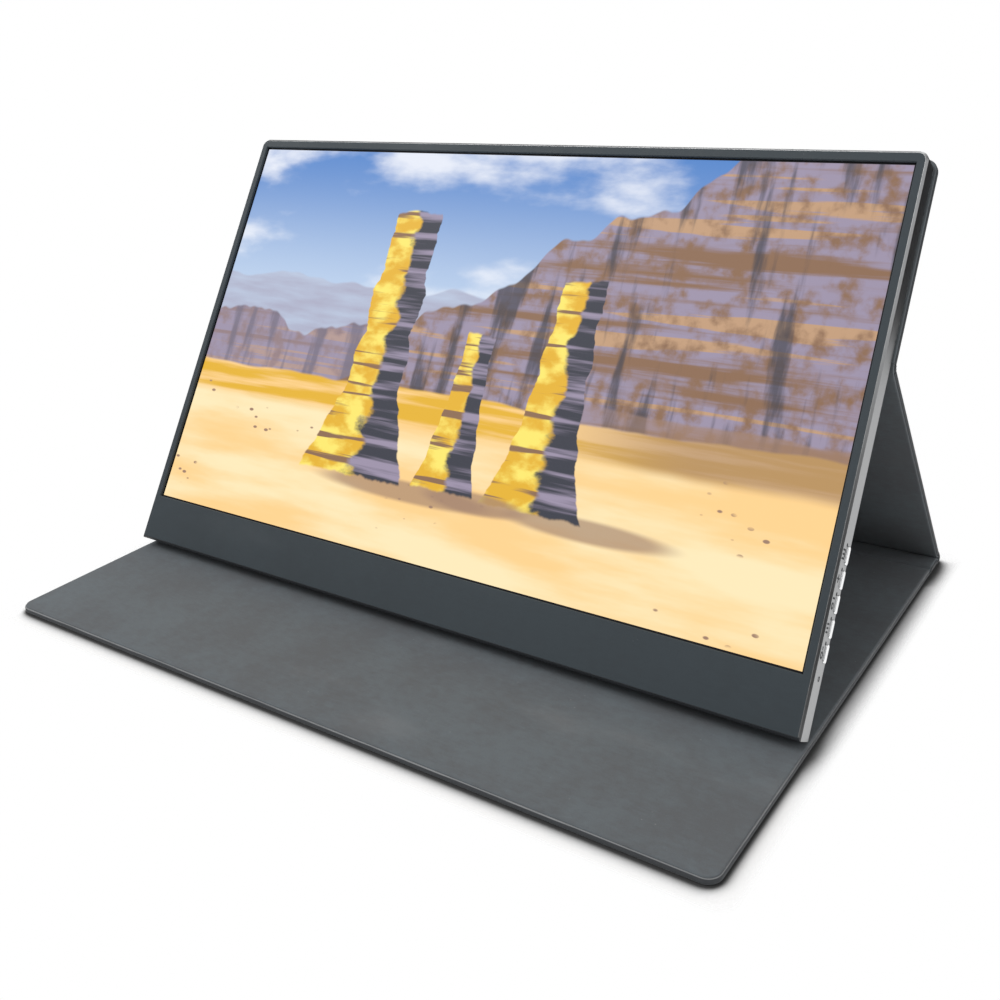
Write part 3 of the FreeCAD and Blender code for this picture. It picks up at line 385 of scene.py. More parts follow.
class Effects:
    """The effects that several finishes share, each one node group."""

    DRAWN: Spot = (0.3, 1.0, 1.0)
    SMEARED: Spot = (0.35, 1.0, 1.0)
    BRUSHED: Spot = (0.04, 1.0, 1.0)
    WEAR_PATCHES = 420.0
    LINT = 260.0
    LINT_FIELDS = 60.0
    SMEARS = 34.0

    def __init__(self) -> None:
        """Builds every group once."""
        self.mottle = self._group("mottle", ("Vector", "Scale"), self._mottle)
        self.pebble = self._group("pebble", ("Vector", "Scale"), self._pebble)
        self.brushing = self._group("brushing", ("Vector", "Scale"), self._brushing)
        self.wear = self._group("edge_wear", ("Vector", "Width", "Amount"), self._wear)
        self.dust = self._group("dust", ("Vector", "Amount"), self._dust)

    @staticmethod
    def _group(name: str, inputs: Sequence[str], effect: Callable[..., dict]) -> Tree:
        """Makes an effect's group, with float sockets and a vector where an input is named Vector.

        Args:
            name: The group's name.
            inputs: Names of its inputs.
            effect: Takes the group's graph and a wire from each input, and gives a wire for each output.

        Returns:
            The group.
        """
        tree = bpy.data.node_groups.new(name, "ShaderNodeTree")
        for label in inputs:
            kind = "NodeSocketVector" if label == "Vector" else "NodeSocketFloat"
            tree.interface.new_socket(label, in_out="INPUT", socket_type=kind)
        graph = Graph(tree)
        source = tree.nodes.new("NodeGroupInput")
        results = effect(graph, *(graph.out(source, label) for label in inputs))
        for label in results:
            tree.interface.new_socket(label, in_out="OUTPUT", socket_type="NodeSocketFloat")
        graph.feed(tree.nodes.new("NodeGroupOutput"), results)
        return tree

    def _mottle(self, graph: Graph, point: Wire, scale: Wire) -> dict[str, Wire]:
        """Cloudy variation between 0 and 1: clouds, fine clouds and short streaks along X together.

        Args:
            graph: The group's graph.
            point: Where the effect is read.
            scale: Patches in a metre.

        Returns:
            The tone.
        """
        clouds = graph.noise(point, scale, 3.0) * 0.5 + graph.noise(point, scale * 9.0, 4.0) * 0.25
        streaks = graph.noise(graph.stretch(point, self.DRAWN), scale * 34.0, 3.0)
        return {"Tone": (clouds + streaks * 0.25).step(0.36, 0.64)}

    @staticmethod
    def _pebble(graph: Graph, point: Wire, scale: Wire) -> dict[str, Wire]:
        """Fine pebbled relief: rounded cells broken up by noise.

        Args:
            graph: The group's graph.
            point: Where the effect is read.
            scale: Pebbles in a metre.

        Returns:
            The relief and its valleys, which the finishes darken as painted shade.
        """
        edge = graph.cells(point, scale, "DISTANCE_TO_EDGE")
        fine = graph.noise(point, scale * 2.6, 3.0)
        return {"Height": edge.step(0.0, 0.45) * 0.6 + fine * 0.4, "Valley": 1.0 - edge.step(0.0, 0.2)}

    def _brushing(self, graph: Graph, point: Wire, scale: Wire) -> dict[str, Wire]:
        """Fine lines along X with a soft grain, for satin metal."""
        lines = graph.noise(graph.stretch(point, self.BRUSHED), scale)
        return {"Height": lines * 0.5 + graph.noise(point, scale) * 0.5, "Streak": lines}

    def _wear(self, graph: Graph, point: Wire, width: Wire, amount: Wire) -> dict[str, Wire]:
        """A mask of worn edges: where a rounded normal leaves the true one, broken by noise.

        Args:
            graph: The group's graph.
            point: Where the effect is read.
            width: How far the wear reaches from an edge.
            amount: How strong it is.

        Returns:
            The mask.
        """
        rounded = graph.out(graph.node("Bevel", {"Radius": width}, samples=4), "Normal")
        true_normal = graph.out(graph.node("NewGeometry"), "Normal")
        agreement = graph.node("VectorMath", {0: rounded, 1: true_normal}, operation="DOT_PRODUCT")
        edge = (1.0 - graph.out(agreement, "Value")).step(0.01, 0.22)
        patches = graph.noise(point, self.WEAR_PATCHES, 4.0).step(0.38, 0.62)
        worn = edge * patches.spread(0.35, 1.0)
        return {"Mask": graph.math("MULTIPLY", worn, amount, clamp=True)}

    def _dust(self, graph: Graph, point: Wire, amount: Wire) -> dict[str, Wire]:
        """A mask of sparse specks of lint and faint smears.

        Args:
            graph: The group's graph.
            point: Where the effect is read.
            amount: How strong it is.

        Returns:
            The mask.
        """
        dots = 1.0 - graph.cells(point, self.LINT).step(0.03, 0.09)
        sparse = graph.noise(point, self.LINT_FIELDS, 1.0).step(0.58, 0.66)
        smears = graph.noise(graph.stretch(point, self.SMEARED), self.SMEARS, 6.0).step(0.56, 0.8)
        both = dots * sparse + smears * 0.35
        return {"Mask": graph.math("MULTIPLY", both, amount, clamp=True)}


@dataclass(frozen=True)
class Finish:
    """How one of the part's materials looks. Lengths are metres and colours are linear.

    Attributes:
        slot: The record's slot that it dresses.
        color: Base colour.
        roughness: How matt it is.
        metallic: 1 for bare metal, which is brushed; the rest is pebbled.
        specular: The shader's specular level.
        grain_size: Width of one grain.
        grain_depth: Height of the relief.
        variation: Share by which the colour wanders.
        patch: Width of one patch of variation.
        wear: How worn the edges are, from 0 to 1.
        wear_lift: How much lighter a worn edge is.
        wear_width: How far the wear reaches from an edge.
        dust: How much lint and smear shows, from 0 to 1.
        sheen: Soft edge sheen of a fibre surface.
        coat: Clear coat.
        tint: What the lighter patches are multiplied by.
        rim: Colour of the faces that the mesh marks as rim, where it differs: a painted highlight along the
            top of a turned edge.
        back: Dark colour on the housing's back, its rear rounding and its lower wall, where it has one; on
            the rear rounding and the lower wall it is painted shade.
    """

    slot: str
    color: Color
    roughness: float
    metallic: float = 0.0
    specular: float = 0.3
    grain_size: float = 0.0004
    grain_depth: float = 0.00001
    variation: float = 0.08
    patch: float = 0.03
    wear: float = 0.0
    wear_lift: float = 0.25
    wear_width: float = 0.0005
    dust: float = 0.0
    sheen: float = 0.0
    coat: float = 0.0
    tint: Color = (1.0, 1.0, 1.0)
    rim: Optional[Color] = None
    back: Optional[Color] = None

    def material(self, effects: Effects) -> Material:
        """Builds the material.

        Args:
            effects: The shared node groups.

        Returns:
            The material, with its Principled BSDF and all constants on its own sockets.
        """
        made, graph, shader = new_material(self.slot + "_finish")
        point = graph.object_point()
        tone, = graph.effect(effects.mottle, Vector=point, Scale=1.0 / self.patch)
        light = tuple(min(1.0, part * cast * (1.0 + self.variation))
                      for part, cast in zip(self.color, self.tint))
        color = graph.mix(tone, self._toned(1.0 - self.variation), light)
        relief = effects.brushing if self.metallic else effects.pebble
        height, streaks_and_valley_shade = graph.effect(relief, Vector=point, Scale=1.0 / self.grain_size)
        # Painted shade in the pebbled grain's valleys; on brushed metal, darker streaks.
        color = graph.mix(streaks_and_valley_shade * VALLEY_SHADE_SHARE, color, self._toned(VALLEY_SHADE_TONE))
        if self.wear:
            worn, = graph.effect(effects.wear, Vector=point, Width=self.wear_width, Amount=self.wear)
            color = graph.mix(worn, color, self._toned(lift=self.wear_lift))
        if self.dust:
            specks, = graph.effect(effects.dust, Vector=point, Amount=self.dust)
            color = graph.mix(specks, color, self._toned(lift=DUST_LIFT))
        # Painted highlight: the marked top of a turned edge takes the pale rim colour.
        if self.rim:
            marked = graph.out(graph.node("Attribute", attribute_name=RIM_HIGHLIGHT), "Fac")
            color = graph.mix(marked * tone.spread(0.7, 1.0), color, self.rim)
        spread = METAL_SPREAD if self.metallic else MATT_SPREAD
        rough = tone.spread(max(0.03, self.roughness - spread), min(1.0, self.roughness + spread))
        metallic = self.metallic
        # Dark back colour, and painted shade on the rear rounding and the lower wall.
        if self.back:
            back_and_shade_mask = self._back_and_shade_mask(graph, point)
            color = graph.mix(back_and_shade_mask, color, self.back)
            rough = rough + back_and_shade_mask * BACK_SHADE_ROUGHNESS
            metallic = self.metallic - back_and_shade_mask * self.metallic
        graph.feed(shader, {"Base Color": color, "Roughness": rough, "Metallic": metallic,
                            "Normal": graph.bump(height, self.grain_depth),
                            "Specular IOR Level": self.specular, "Sheen Weight": self.sheen,
                            "Coat Weight": self.coat})
        return made

    def _toned(self, share: float = 1.0, lift: float = 0.0) -> Color:
        """The base colour, darkened to a share or lifted."""
        return tuple(min(1.0, part * share + lift) for part in self.color)

    @staticmethod
    def _back_and_shade_mask(graph: Graph, point: Wire) -> Wire:
        """Masks the dark back colour: 1 on the housing's back, its rounded edge and its lower wall, 0
        elsewhere; on the rounded edge and the lower wall it is painted shade.

        Args:
            graph: The material's graph.
            point: Where the mask is read.

        Returns:
            The mask.
        """
        across, up, level = graph.split(graph.place(point, MONITOR))
        low = graph.math("MINIMUM", up + (abs(across) > SIDE_WALL), level)
        return 1.0 - low.step(BACK_SHADE_LEVEL - BACK_SHADE_EDGE, BACK_SHADE_LEVEL + BACK_SHADE_EDGE)


FINISHES = (
    # The skin's rim colour is a painted highlight along the flap's turned edge.
    Finish("cover_skin", (0.05, 0.054, 0.059), 0.62, specular=0.25, grain_size=0.0011, grain_depth=0.00005,
           variation=0.12, patch=0.05, wear=0.5, wear_lift=0.03, wear_width=0.0006, dust=0.25,
           rim=(0.25, 0.255, 0.26)),
    Finish("cover_lining", (0.122, 0.13, 0.139), 0.82, specular=0.15, grain_size=0.0005, grain_depth=0.00003,
           variation=0.1, patch=0.04, dust=0.8, sheen=0.1, tint=(0.97, 1.05, 1.07)),
    Finish("cover_board", (0.42, 0.36, 0.28), 0.9, grain_size=0.0008, grain_depth=0.00004, variation=0.16,
           patch=0.006),
    Finish("magnet", (0.62, 0.62, 0.63), 0.28, metallic=1.0, wear=0.4, wear_lift=0.1),
    # The housing's dark back colour also paints shade along its rear edge and lower wall.
    Finish("housing_metal", (0.33, 0.335, 0.34), 0.3, metallic=1.0, grain_size=0.00025,
           grain_depth=0.0000005, variation=0.05, wear=0.3, wear_lift=0.05, dust=0.1,
           back=(0.03, 0.033, 0.037)),
    Finish("bezel_plastic", (0.039, 0.05, 0.058), 0.6, specular=0.25, grain_size=0.00025,
           grain_depth=0.000006, patch=0.05, wear=0.35, wear_lift=0.05, dust=0.3),
    Finish("adhesive", (0.01, 0.01, 0.01), 0.85, specular=0.1),
    Finish("screen_glass", (0.03, 0.03, 0.035), 0.12, specular=0.4, variation=0.03),
    Finish("optical_film", (0.88, 0.88, 0.87), 0.45, grain_size=0.0001, variation=0.02),
    Finish("clear_plastic", (0.04, 0.045, 0.05), 0.15, specular=0.4, variation=0.04, coat=0.3),
    Finish("white_plastic", (0.86, 0.86, 0.83), 0.5, variation=0.03),
    Finish("tray_metal", (0.66, 0.66, 0.66), 0.38, metallic=1.0, wear=0.3),
    Finish("circuit_board", (0.03, 0.13, 0.06), 0.35, grain_size=0.0012, grain_depth=0.00003, variation=0.3,
           patch=0.003, coat=0.2),
    Finish("flex_film", (0.48, 0.25, 0.06), 0.3, grain_size=0.0006, variation=0.12, patch=0.004, coat=0.2),
    Finish("black_plastic", (0.02, 0.02, 0.022), 0.5, grain_size=0.0003, wear=0.3, wear_lift=0.05),
    Finish("socket_metal", (0.58, 0.58, 0.57), 0.25, metallic=1.0, wear=0.6, wear_lift=0.2,
           wear_width=0.0002),
    Finish("foam", (0.03, 0.03, 0.03), 0.95, specular=0.1, grain_size=0.0006, grain_depth=0.0001),
    Finish("wire_jacket", (0.35, 0.03, 0.03), 0.5, grain_size=0.0003, coat=0.1),
    Finish("screw_steel", (0.3, 0.3, 0.31), 0.3, metallic=1.0, wear=0.5),
    Finish("key_metal", (0.98, 0.985, 0.99), 0.16, metallic=1.0, grain_size=0.0001, grain_depth=0.0000002,
           variation=0.01),
    Finish("mark_ink", (0.03, 0.033, 0.036), 0.6, specular=0.2, grain_size=0.0002, variation=0.12,
           patch=0.001),
)


class Landscape:
    """The picture on the screen: a made-up desert with rock towers, drawn in the shader.

    Places in the picture count from its lower left corner, in picture heights. A skyline is given by its
    middle height, how far it rises and falls, its hills across the picture, its seed and its slope. A
    tower is given by its middle, half its width, its height and its seed.
    """

    WIDTH = 0.34416
    HEIGHT = 0.19359
    BOTTOM = 0.0235
    RATIO = WIDTH / HEIGHT
    SKY_LOW: Color = (0.55, 0.68, 0.86)
    SKY_HIGH: Color = (0.07, 0.22, 0.58)
    CLOUD: Color = (0.90, 0.92, 0.97)
    HAZE: Color = (0.34, 0.29, 0.40)
    ROCK: Color = (0.27, 0.15, 0.085)
    ROCK_LIGHT: Color = (0.55, 0.34, 0.20)
    ROCK_SHADE: Color = (0.045, 0.048, 0.065)
    GOLD: Color = (0.80, 0.46, 0.03)
    GOLD_LIGHT: Color = (1.0, 0.82, 0.16)
    SAND: Color = (1.0, 0.66, 0.28)
    SAND_LIGHT: Color = (1.0, 0.83, 0.50)
    SAND_SHADE: Color = (0.36, 0.22, 0.15)
    FAR_HILLS = (0.64, 0.1, 2.4, 11.0)
    MIDDLE_HILLS = (0.53, 0.12, 4.3, 29.0)
    CLIFFS = (0.66, 0.22, 3.3, 23.0, 0.62)
    DUNES = (0.39, 0.05, 1.9, 31.0)
    CLIFF_SHADOW = (0.42, 0.04, 2.0, 33.0)
    NEAR_SAND = (0.31, 0.03, 1.3, 41.0)
    STONY_SAND = (0.33, 0.02, 1.3, 41.0)
    TOWERS = ((0.60, 0.075, 0.84, 51.0), (1.12, 0.06, 0.70, 71.0), (0.88, 0.04, 0.55, 61.0))
    FOOT = 0.19
    SHADOW_DEPTH = 0.03
    FILM_GRAINS = 9000.0
    FILM_RELIEF = 0.000002
    FILM_DARK: Color = (0.004, 0.004, 0.005)
    FILM_LIGHT: Color = (0.008, 0.008, 0.01)

    def __init__(self) -> None:
        """Opens the material and finds the picture's own coordinates."""
        self.material, self.graph, self.shader = new_material("screen_front_finish")
        across, up, _ = self.graph.split(self.graph.place(self.graph.object_point(), MONITOR))
        self.u = (across + self.WIDTH / 2) * (self.RATIO / self.WIDTH)
        self.v = (up - self.BOTTOM) / self.HEIGHT

    def _flat(self, across: float, up: float, seed: float) -> Wire:
        """A vector of the picture's coordinates, stretched and moved by a seed."""
        return self.graph.join(self.u * across, self.v * up, seed)

    def _noise(self, across: float, up: float, seed: float, detail: float) -> Wire:
        """Noise with this many patches in a picture height, across and up."""
        return self.graph.noise(self._flat(across, up, seed), 1.0, detail)

    def _below(self, base: float, height: float, rate: float, seed: float, slope: float = 0.0,
               soft: float = 0.004) -> Wire:
        """A mask that is 1 below a skyline.

        Args:
            base: The skyline's middle height.
            height: How far it rises and falls.
            rate: How many hills there are across the picture.
            seed: Picks the hills.
            slope: How much it climbs to the right.
            soft: Half the width of its edge.

        Returns:
            The mask.
        """
        rise = (self._noise(rate, 0.0, seed, 3.0) - 0.5) * (2.0 * height)
        tilt = (self.u - self.RATIO / 2) * slope
        return (rise + tilt + base - self.v).step(-soft, soft)

    def _sky(self) -> Wire:
        """Blue sky with soft clouds.

        Returns:
            Its colour.
        """
        blue = self.graph.mix(self.v.step(0.5, 1.05), self.SKY_LOW, self.SKY_HIGH)
        clouds = self._noise(1.9, 4.4, 3.0, 8.0).step(0.47, 0.63)
        return self.graph.mix(clouds * 0.85, blue, self.CLOUD)

    def _rock(self, seed: float, beds: float) -> Wire:
        """Rock in beds, with upright cracks and a little light on the ledges.

        Args:
            seed: Picks the beds and the cracks.
            beds: How many beds there are up the picture.

        Returns:
            Its colour.
        """
        graph = self.graph
        layers = self._noise(1.1, beds, seed, 6.0)
        cracks = self._noise(17.0, 2.2, seed + 1.0, 5.0).step(0.5, 0.62)
        rough = self._noise(22.0, 22.0, seed + 2.0, 5.0)
        stone = graph.mix(layers.step(0.36, 0.5), self.ROCK, self.HAZE)
        stone = graph.mix(layers.step(0.56, 0.6), stone, self.ROCK_LIGHT)
        stone = graph.mix(rough.step(0.42, 0.7), stone, self.ROCK)
        return graph.mix(cracks * 0.8, stone, self.ROCK_SHADE)

    def _hills(self, under: Wire) -> Wire:
        """Far hills in haze, a middle range, and brown cliffs that climb to the right.

        Args:
            under: The colour behind them.

        Returns:
            The colour with the hills in front.
        """
        graph = self.graph
        far = graph.mix(self._noise(5.0, 30.0, 17.0, 4.0), self.HAZE, self.SKY_LOW)
        color = graph.mix(self._below(*self.FAR_HILLS), under, far)
        middle = graph.mix(0.45, self._rock(37.0, 44.0), self.HAZE)
        color = graph.mix(self._below(*self.MIDDLE_HILLS), color, middle)
        return graph.mix(self._below(*self.CLIFFS), color, self._rock(7.0, 24.0))

    def _ground(self, under: Wire) -> Wire:
        """Gold dunes, pale sand in front, and scattered stones.

        Args:
            under: The colour behind it.

        Returns:
            The colour with the ground in front.
        """
        graph = self.graph
        gold = graph.mix(self._noise(2.0, 34.0, 9.0, 5.0).step(0.42, 0.64), self.GOLD, self.SAND)
        color = graph.mix(self._below(*self.DUNES), under, gold)
        shade = self.u.step(1.0, 1.5) * self._below(*self.CLIFF_SHADOW)
        color = graph.mix(shade * 0.7, color, self.SAND_SHADE)
        sand = graph.mix(self._noise(1.5, 9.0, 13.0, 6.0).step(0.38, 0.62), self.SAND, self.SAND_LIGHT)
        color = graph.mix(self._below(*self.NEAR_SAND, soft=0.015), color, sand)
        stones = 1.0 - graph.cells(self._flat(22.0, 42.0, 2.0), 1.0).step(0.12, 0.2)
        some = self._noise(3.0, 7.0, 43.0, 2.0).step(0.55, 0.6)
        return graph.mix(stones * some * self._below(*self.STONY_SAND), color, self.SAND_SHADE)

    def _tower(self, under: Wire, middle: float, half: float, top: float, seed: float) -> Wire:
        """A tower of gold rock, dark on its right side, with rubble and a shadow at its foot.

        Args:
            under: The colour behind it.
            middle: Where it stands across the picture.
            half: Half its width.
            top: Its height.
            seed: Picks its outline.

        Returns:
            The colour with the tower in front.
        """
        graph = self.graph
        foot = self.FOOT - top * 0.03
        width = self._noise(0.0, 9.0, seed, 4.0).spread(0.45, 1.45) * half
        rubble = graph.math("POWER", graph.math("SUBTRACT", 1.0, self.v, clamp=True), 5.0) * (half * 3.2)
        away = self.u - middle
        side = away / (width + rubble)
        inside = 1.0 - abs(side).step(0.96, 1.0)
        rising = 1.0 - self._below(foot, 0.012, 26.0, seed + 4.0)
        standing = rising * self._below(top, 0.03, 9.0, seed + 1.0)
        rough = self._noise(11.0, 17.0, seed + 2.0, 7.0)
        ledges = self._noise(2.0, 38.0, seed + 3.0, 4.0)
        stone = graph.mix(rough.step(0.42, 0.6), self.GOLD, self.GOLD_LIGHT)
        stone = graph.mix(ledges.step(0.54, 0.6), stone, self.ROCK)
        shade = (side + rough * 1.3).step(0.62, 0.82)
        dark = graph.mix(ledges.step(0.45, 0.62), self.ROCK_SHADE, self.HAZE)
        cast = graph.join((away - half * 2.4) / (half * 4.2), (self.v - (foot - 0.01)) / self.SHADOW_DEPTH)
        spot = graph.out(graph.node("VectorMath", {0: cast}, operation="LENGTH"), "Value")
        ground = graph.mix((1.0 - spot.step(0.6, 1.0)) * 0.75, under, self.SAND_SHADE)
        return graph.mix(inside * standing, ground, graph.mix(shade, stone, dark))

    def build(self) -> Material:
        """Draws the picture and puts it behind a satin film with a black border.

        Returns:
            The screen's material.
        """
        graph = self.graph
        color = self._ground(self._hills(self._sky()))
        for tower in self.TOWERS:
            color = self._tower(color, *tower)
        inside = (self.u > 0.0) * (self.u < self.RATIO) * ((self.v > 0.0) * (self.v < 1.0))
        film = graph.noise(graph.object_point(), self.FILM_GRAINS, 1.0)
        graph.feed(self.shader, {
            "Base Color": graph.mix(film, self.FILM_DARK, self.FILM_LIGHT),
            "Roughness": film.spread(0.34, 0.46),
            "Normal": graph.bump(film, self.FILM_RELIEF),
            "Emission Color": graph.mix(inside, (0.0, 0.0, 0.0), color),
            "Emission Strength": 1.0,
            "Specular IOR Level": 0.12,
        })
        return self.material


class Workshop:
    """Hands out the finishes and fixes finished pieces to the frame."""

    def __init__(self) -> None:
        """Builds every material once."""
        effects = Effects()
        self.materials = {finish.slot: finish.material(effects) for finish in FINISHES}
        self.materials["screen_front"] = Landscape().build()

    def fit(self, piece: Piece, slot: str, body: Optional[str], *nodes: str) -> None:
        """Gives a piece its finish, its body and the nodes that it stands for.

        Args:
            piece: The finished piece.
            slot: The record's slot.
            body: The body that it rides on, or None to leave it on no body.
            nodes: The CAD nodes that it replaces.
        """
        piece.data.materials.clear()
        piece.data.materials.append(self.materials[slot])
        if nodes:
            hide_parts(*nodes)
        if body:
            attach(piece, body)
        LOG.info("%s: %d faces on %s", piece.name, len(piece.data.polygons), body or "a fold")

    def dress_nodes(self) -> None:
        """Gives every CAD node that still shows the finish of its slot."""
        for name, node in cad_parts.items():
            for slot in node.material_slots:
                slot.material = self.materials[slot.material.name.split(".")[0]]
            LOG.info("dressed %s", name)


class Ends(Enum):
    """How a panel's two ends are made."""

    FREE = "free"
    FOLD = "fold"


@dataclass(frozen=True)
class CoverPanel:
    """A stiff panel of the cover: a skin turned up round a board, and a lining.

    Attributes:
        name: The panel's name in the record.
        body: The body that it rides on.
        place: Its flat frame.
        start: Where it starts along the frame's Y.
        end: Where it ends.
        near: How its start is made.
        far: How its end is made.
        lining_inset: From the skin's edge to the lining's.
        painted_rim_highlight: Whether the top of its turned edge gets a pale painted highlight.
    """

    HALF_WIDTH = 0.178
    HALF_THICKNESS = 0.0015
    LINING_LOW = 0.0008
    BOARD_SEAT = 0.0016
    HEM = 0.0015
    RIM_ROUND = 0.0003
    CORNER = 0.0055
    EDGE_ROUND = 0.0005
    LATTICE = 0.008
    WAVINESS = 0.00012
    WAVES = 0.05

    name: str
    body: str
    place: Place
    start: float
    end: float
    near: Ends
    far: Ends
    lining_inset: float = 0.0003
    painted_rim_highlight: bool = False

    def build(self, shop: Workshop) -> None:
        """Makes the skin and the lining and fits them."""
        shop.fit(self._skin(), "cover_skin", self.body, self.name + "_leather")
        shop.fit(self._lining(), "cover_lining", self.body, self.name + "_lining")

    def _span(self, gap: float) -> tuple[float, float]:
        """Where a layer starts and ends that is set in by a gap at the free ends."""
        return (self.start + (gap if self.near is Ends.FREE else 0.0),
                self.end - (gap if self.far is Ends.FREE else 0.0))

    def _layer(self, name: str, levels: tuple[float, float], gap: float,
               rims: Sequence[tuple[float, float, int]]) -> Workpiece:
        """A flat layer with rounded corners at the free end and rounded rims.

        Args:
            name: What its name ends with.
            levels: Its lower and upper level.
            gap: How far it is set in from the skin's outline.
            rims: The level, radius and segments of each rounded rim.

        Returns:
            The layer, still open for editing.
        """
        half, (start, end) = self.HALF_WIDTH - gap, self._span(gap)
        work = Workpiece(self.name + name, (-half, start, levels[0]), (half, end, levels[1]))
        places = [place for place, kind in ((start, self.near), (end, self.far)) if kind is Ends.FREE]
        if places:
            work.pick(Pick.EDGES, lambda middle, way: abs(way.z) > 0.9 and abs(middle.x) > half - MM / 10
                      and any(abs(middle.y - place) < MM / 10 for place in places))
            work.bevel(self.CORNER - gap, 10)
        for level, radius, segments in rims:
            work.pick(Pick.EDGES, lambda middle, way: abs(middle.z - level) < MM / 100 and abs(way.z) < 0.1
                      and self._on_outline(middle, half, start, end))
            work.bevel(radius, segments)
        return work

    def _on_outline(self, middle: Vector, half: float, start: float, end: float) -> bool:
        """Whether an edge's middle lies on the sides, the rounded corners or a free end.

        Args:
            middle: The edge's middle.
            half: Half the layer's width.
            start: Where the layer starts.
            end: Where it ends.

        Returns:
            True for an edge of the outline.
        """
        if middle.y < start + MM / 10:
            return self.near is Ends.FREE
        if middle.y > end - MM / 10:
            return self.far is Ends.FREE
        return abs(middle.x) > half - self.CORNER

    def _close(self, work: Workpiece, gap: float) -> Piece:
        """Makes a layer slightly uneven, as glued leather is, and puts it at its place.

        Args:
            work: The layer.
            gap: How far it is set in from the skin's outline.

        Returns:
            The finished layer.
        """
        start, end = self._span(gap)
        count = int((end - start) / self.LATTICE)
        work.slice(0, [self.LATTICE * step for step in range(-22, 23)])
        work.slice(1, [start + (end - start) * step / (count + 1) for step in range(1, count + 1)])
        bpy.ops.object.mode_set(mode="OBJECT")
        texture = bpy.data.textures.new(work.piece.name + "_unevenness", "CLOUDS")
        texture.noise_scale = self.WAVES
        bpy.ops.object.modifier_add(type="DISPLACE")
        modifier = work.piece.modifiers[-1]
        modifier.texture = texture
        modifier.texture_coords = "LOCAL"
        modifier.direction = "Z"
        modifier.strength = self.WAVINESS
        bpy.ops.object.modifier_apply(modifier=modifier.name)
        bpy.ops.object.mode_set(mode="EDIT")
        return work.finish(self.place)

    def _skin(self) -> Piece:
        """The outer skin, turned up round the board's seat.

        Returns:
            The skin.
        """
        low, top = -self.HALF_THICKNESS, self.LINING_LOW
        work = self._layer("_skin", (low, top), 0.0, ((low, self.EDGE_ROUND, 4), (top, self.RIM_ROUND, 3)))
        work.pick(Pick.FACES, lambda middle, normal: normal.z > 0.99 and middle.z > top - MM / 100)
        work.inset(self.HEM - self.RIM_ROUND)
        work.extrude((0.0, 0.0, -self.BOARD_SEAT))
        skin = self._close(work, 0.0)
        if self.painted_rim_highlight:
            self._mark_rim_highlight(skin)
        return skin

    def _mark_rim_highlight(self, skin: Piece) -> None:
        """Marks the top of the turned edge, which gets a pale painted highlight.

        Args:
            skin: The finished skin.
        """
        marks = skin.data.attributes.new(RIM_HIGHLIGHT, "FLOAT", "POINT")
        flat = self.place.matrix().inverted()
        for point in skin.data.vertices:
            marks.data[point.index].value = float((flat @ point.co).z > self.LINING_LOW - self.RIM_ROUND / 2)

    def _lining(self) -> Piece:
        """The lining, set in from the skin's edge, rounded along its rim and flush with the folds.

        Returns:
            The lining.
        """
        top = self.HALF_THICKNESS
        work = self._layer("_cloth", (self.LINING_LOW, top), self.lining_inset, ((top, self.EDGE_ROUND, 4),))
        return self._close(work, self.lining_inset)


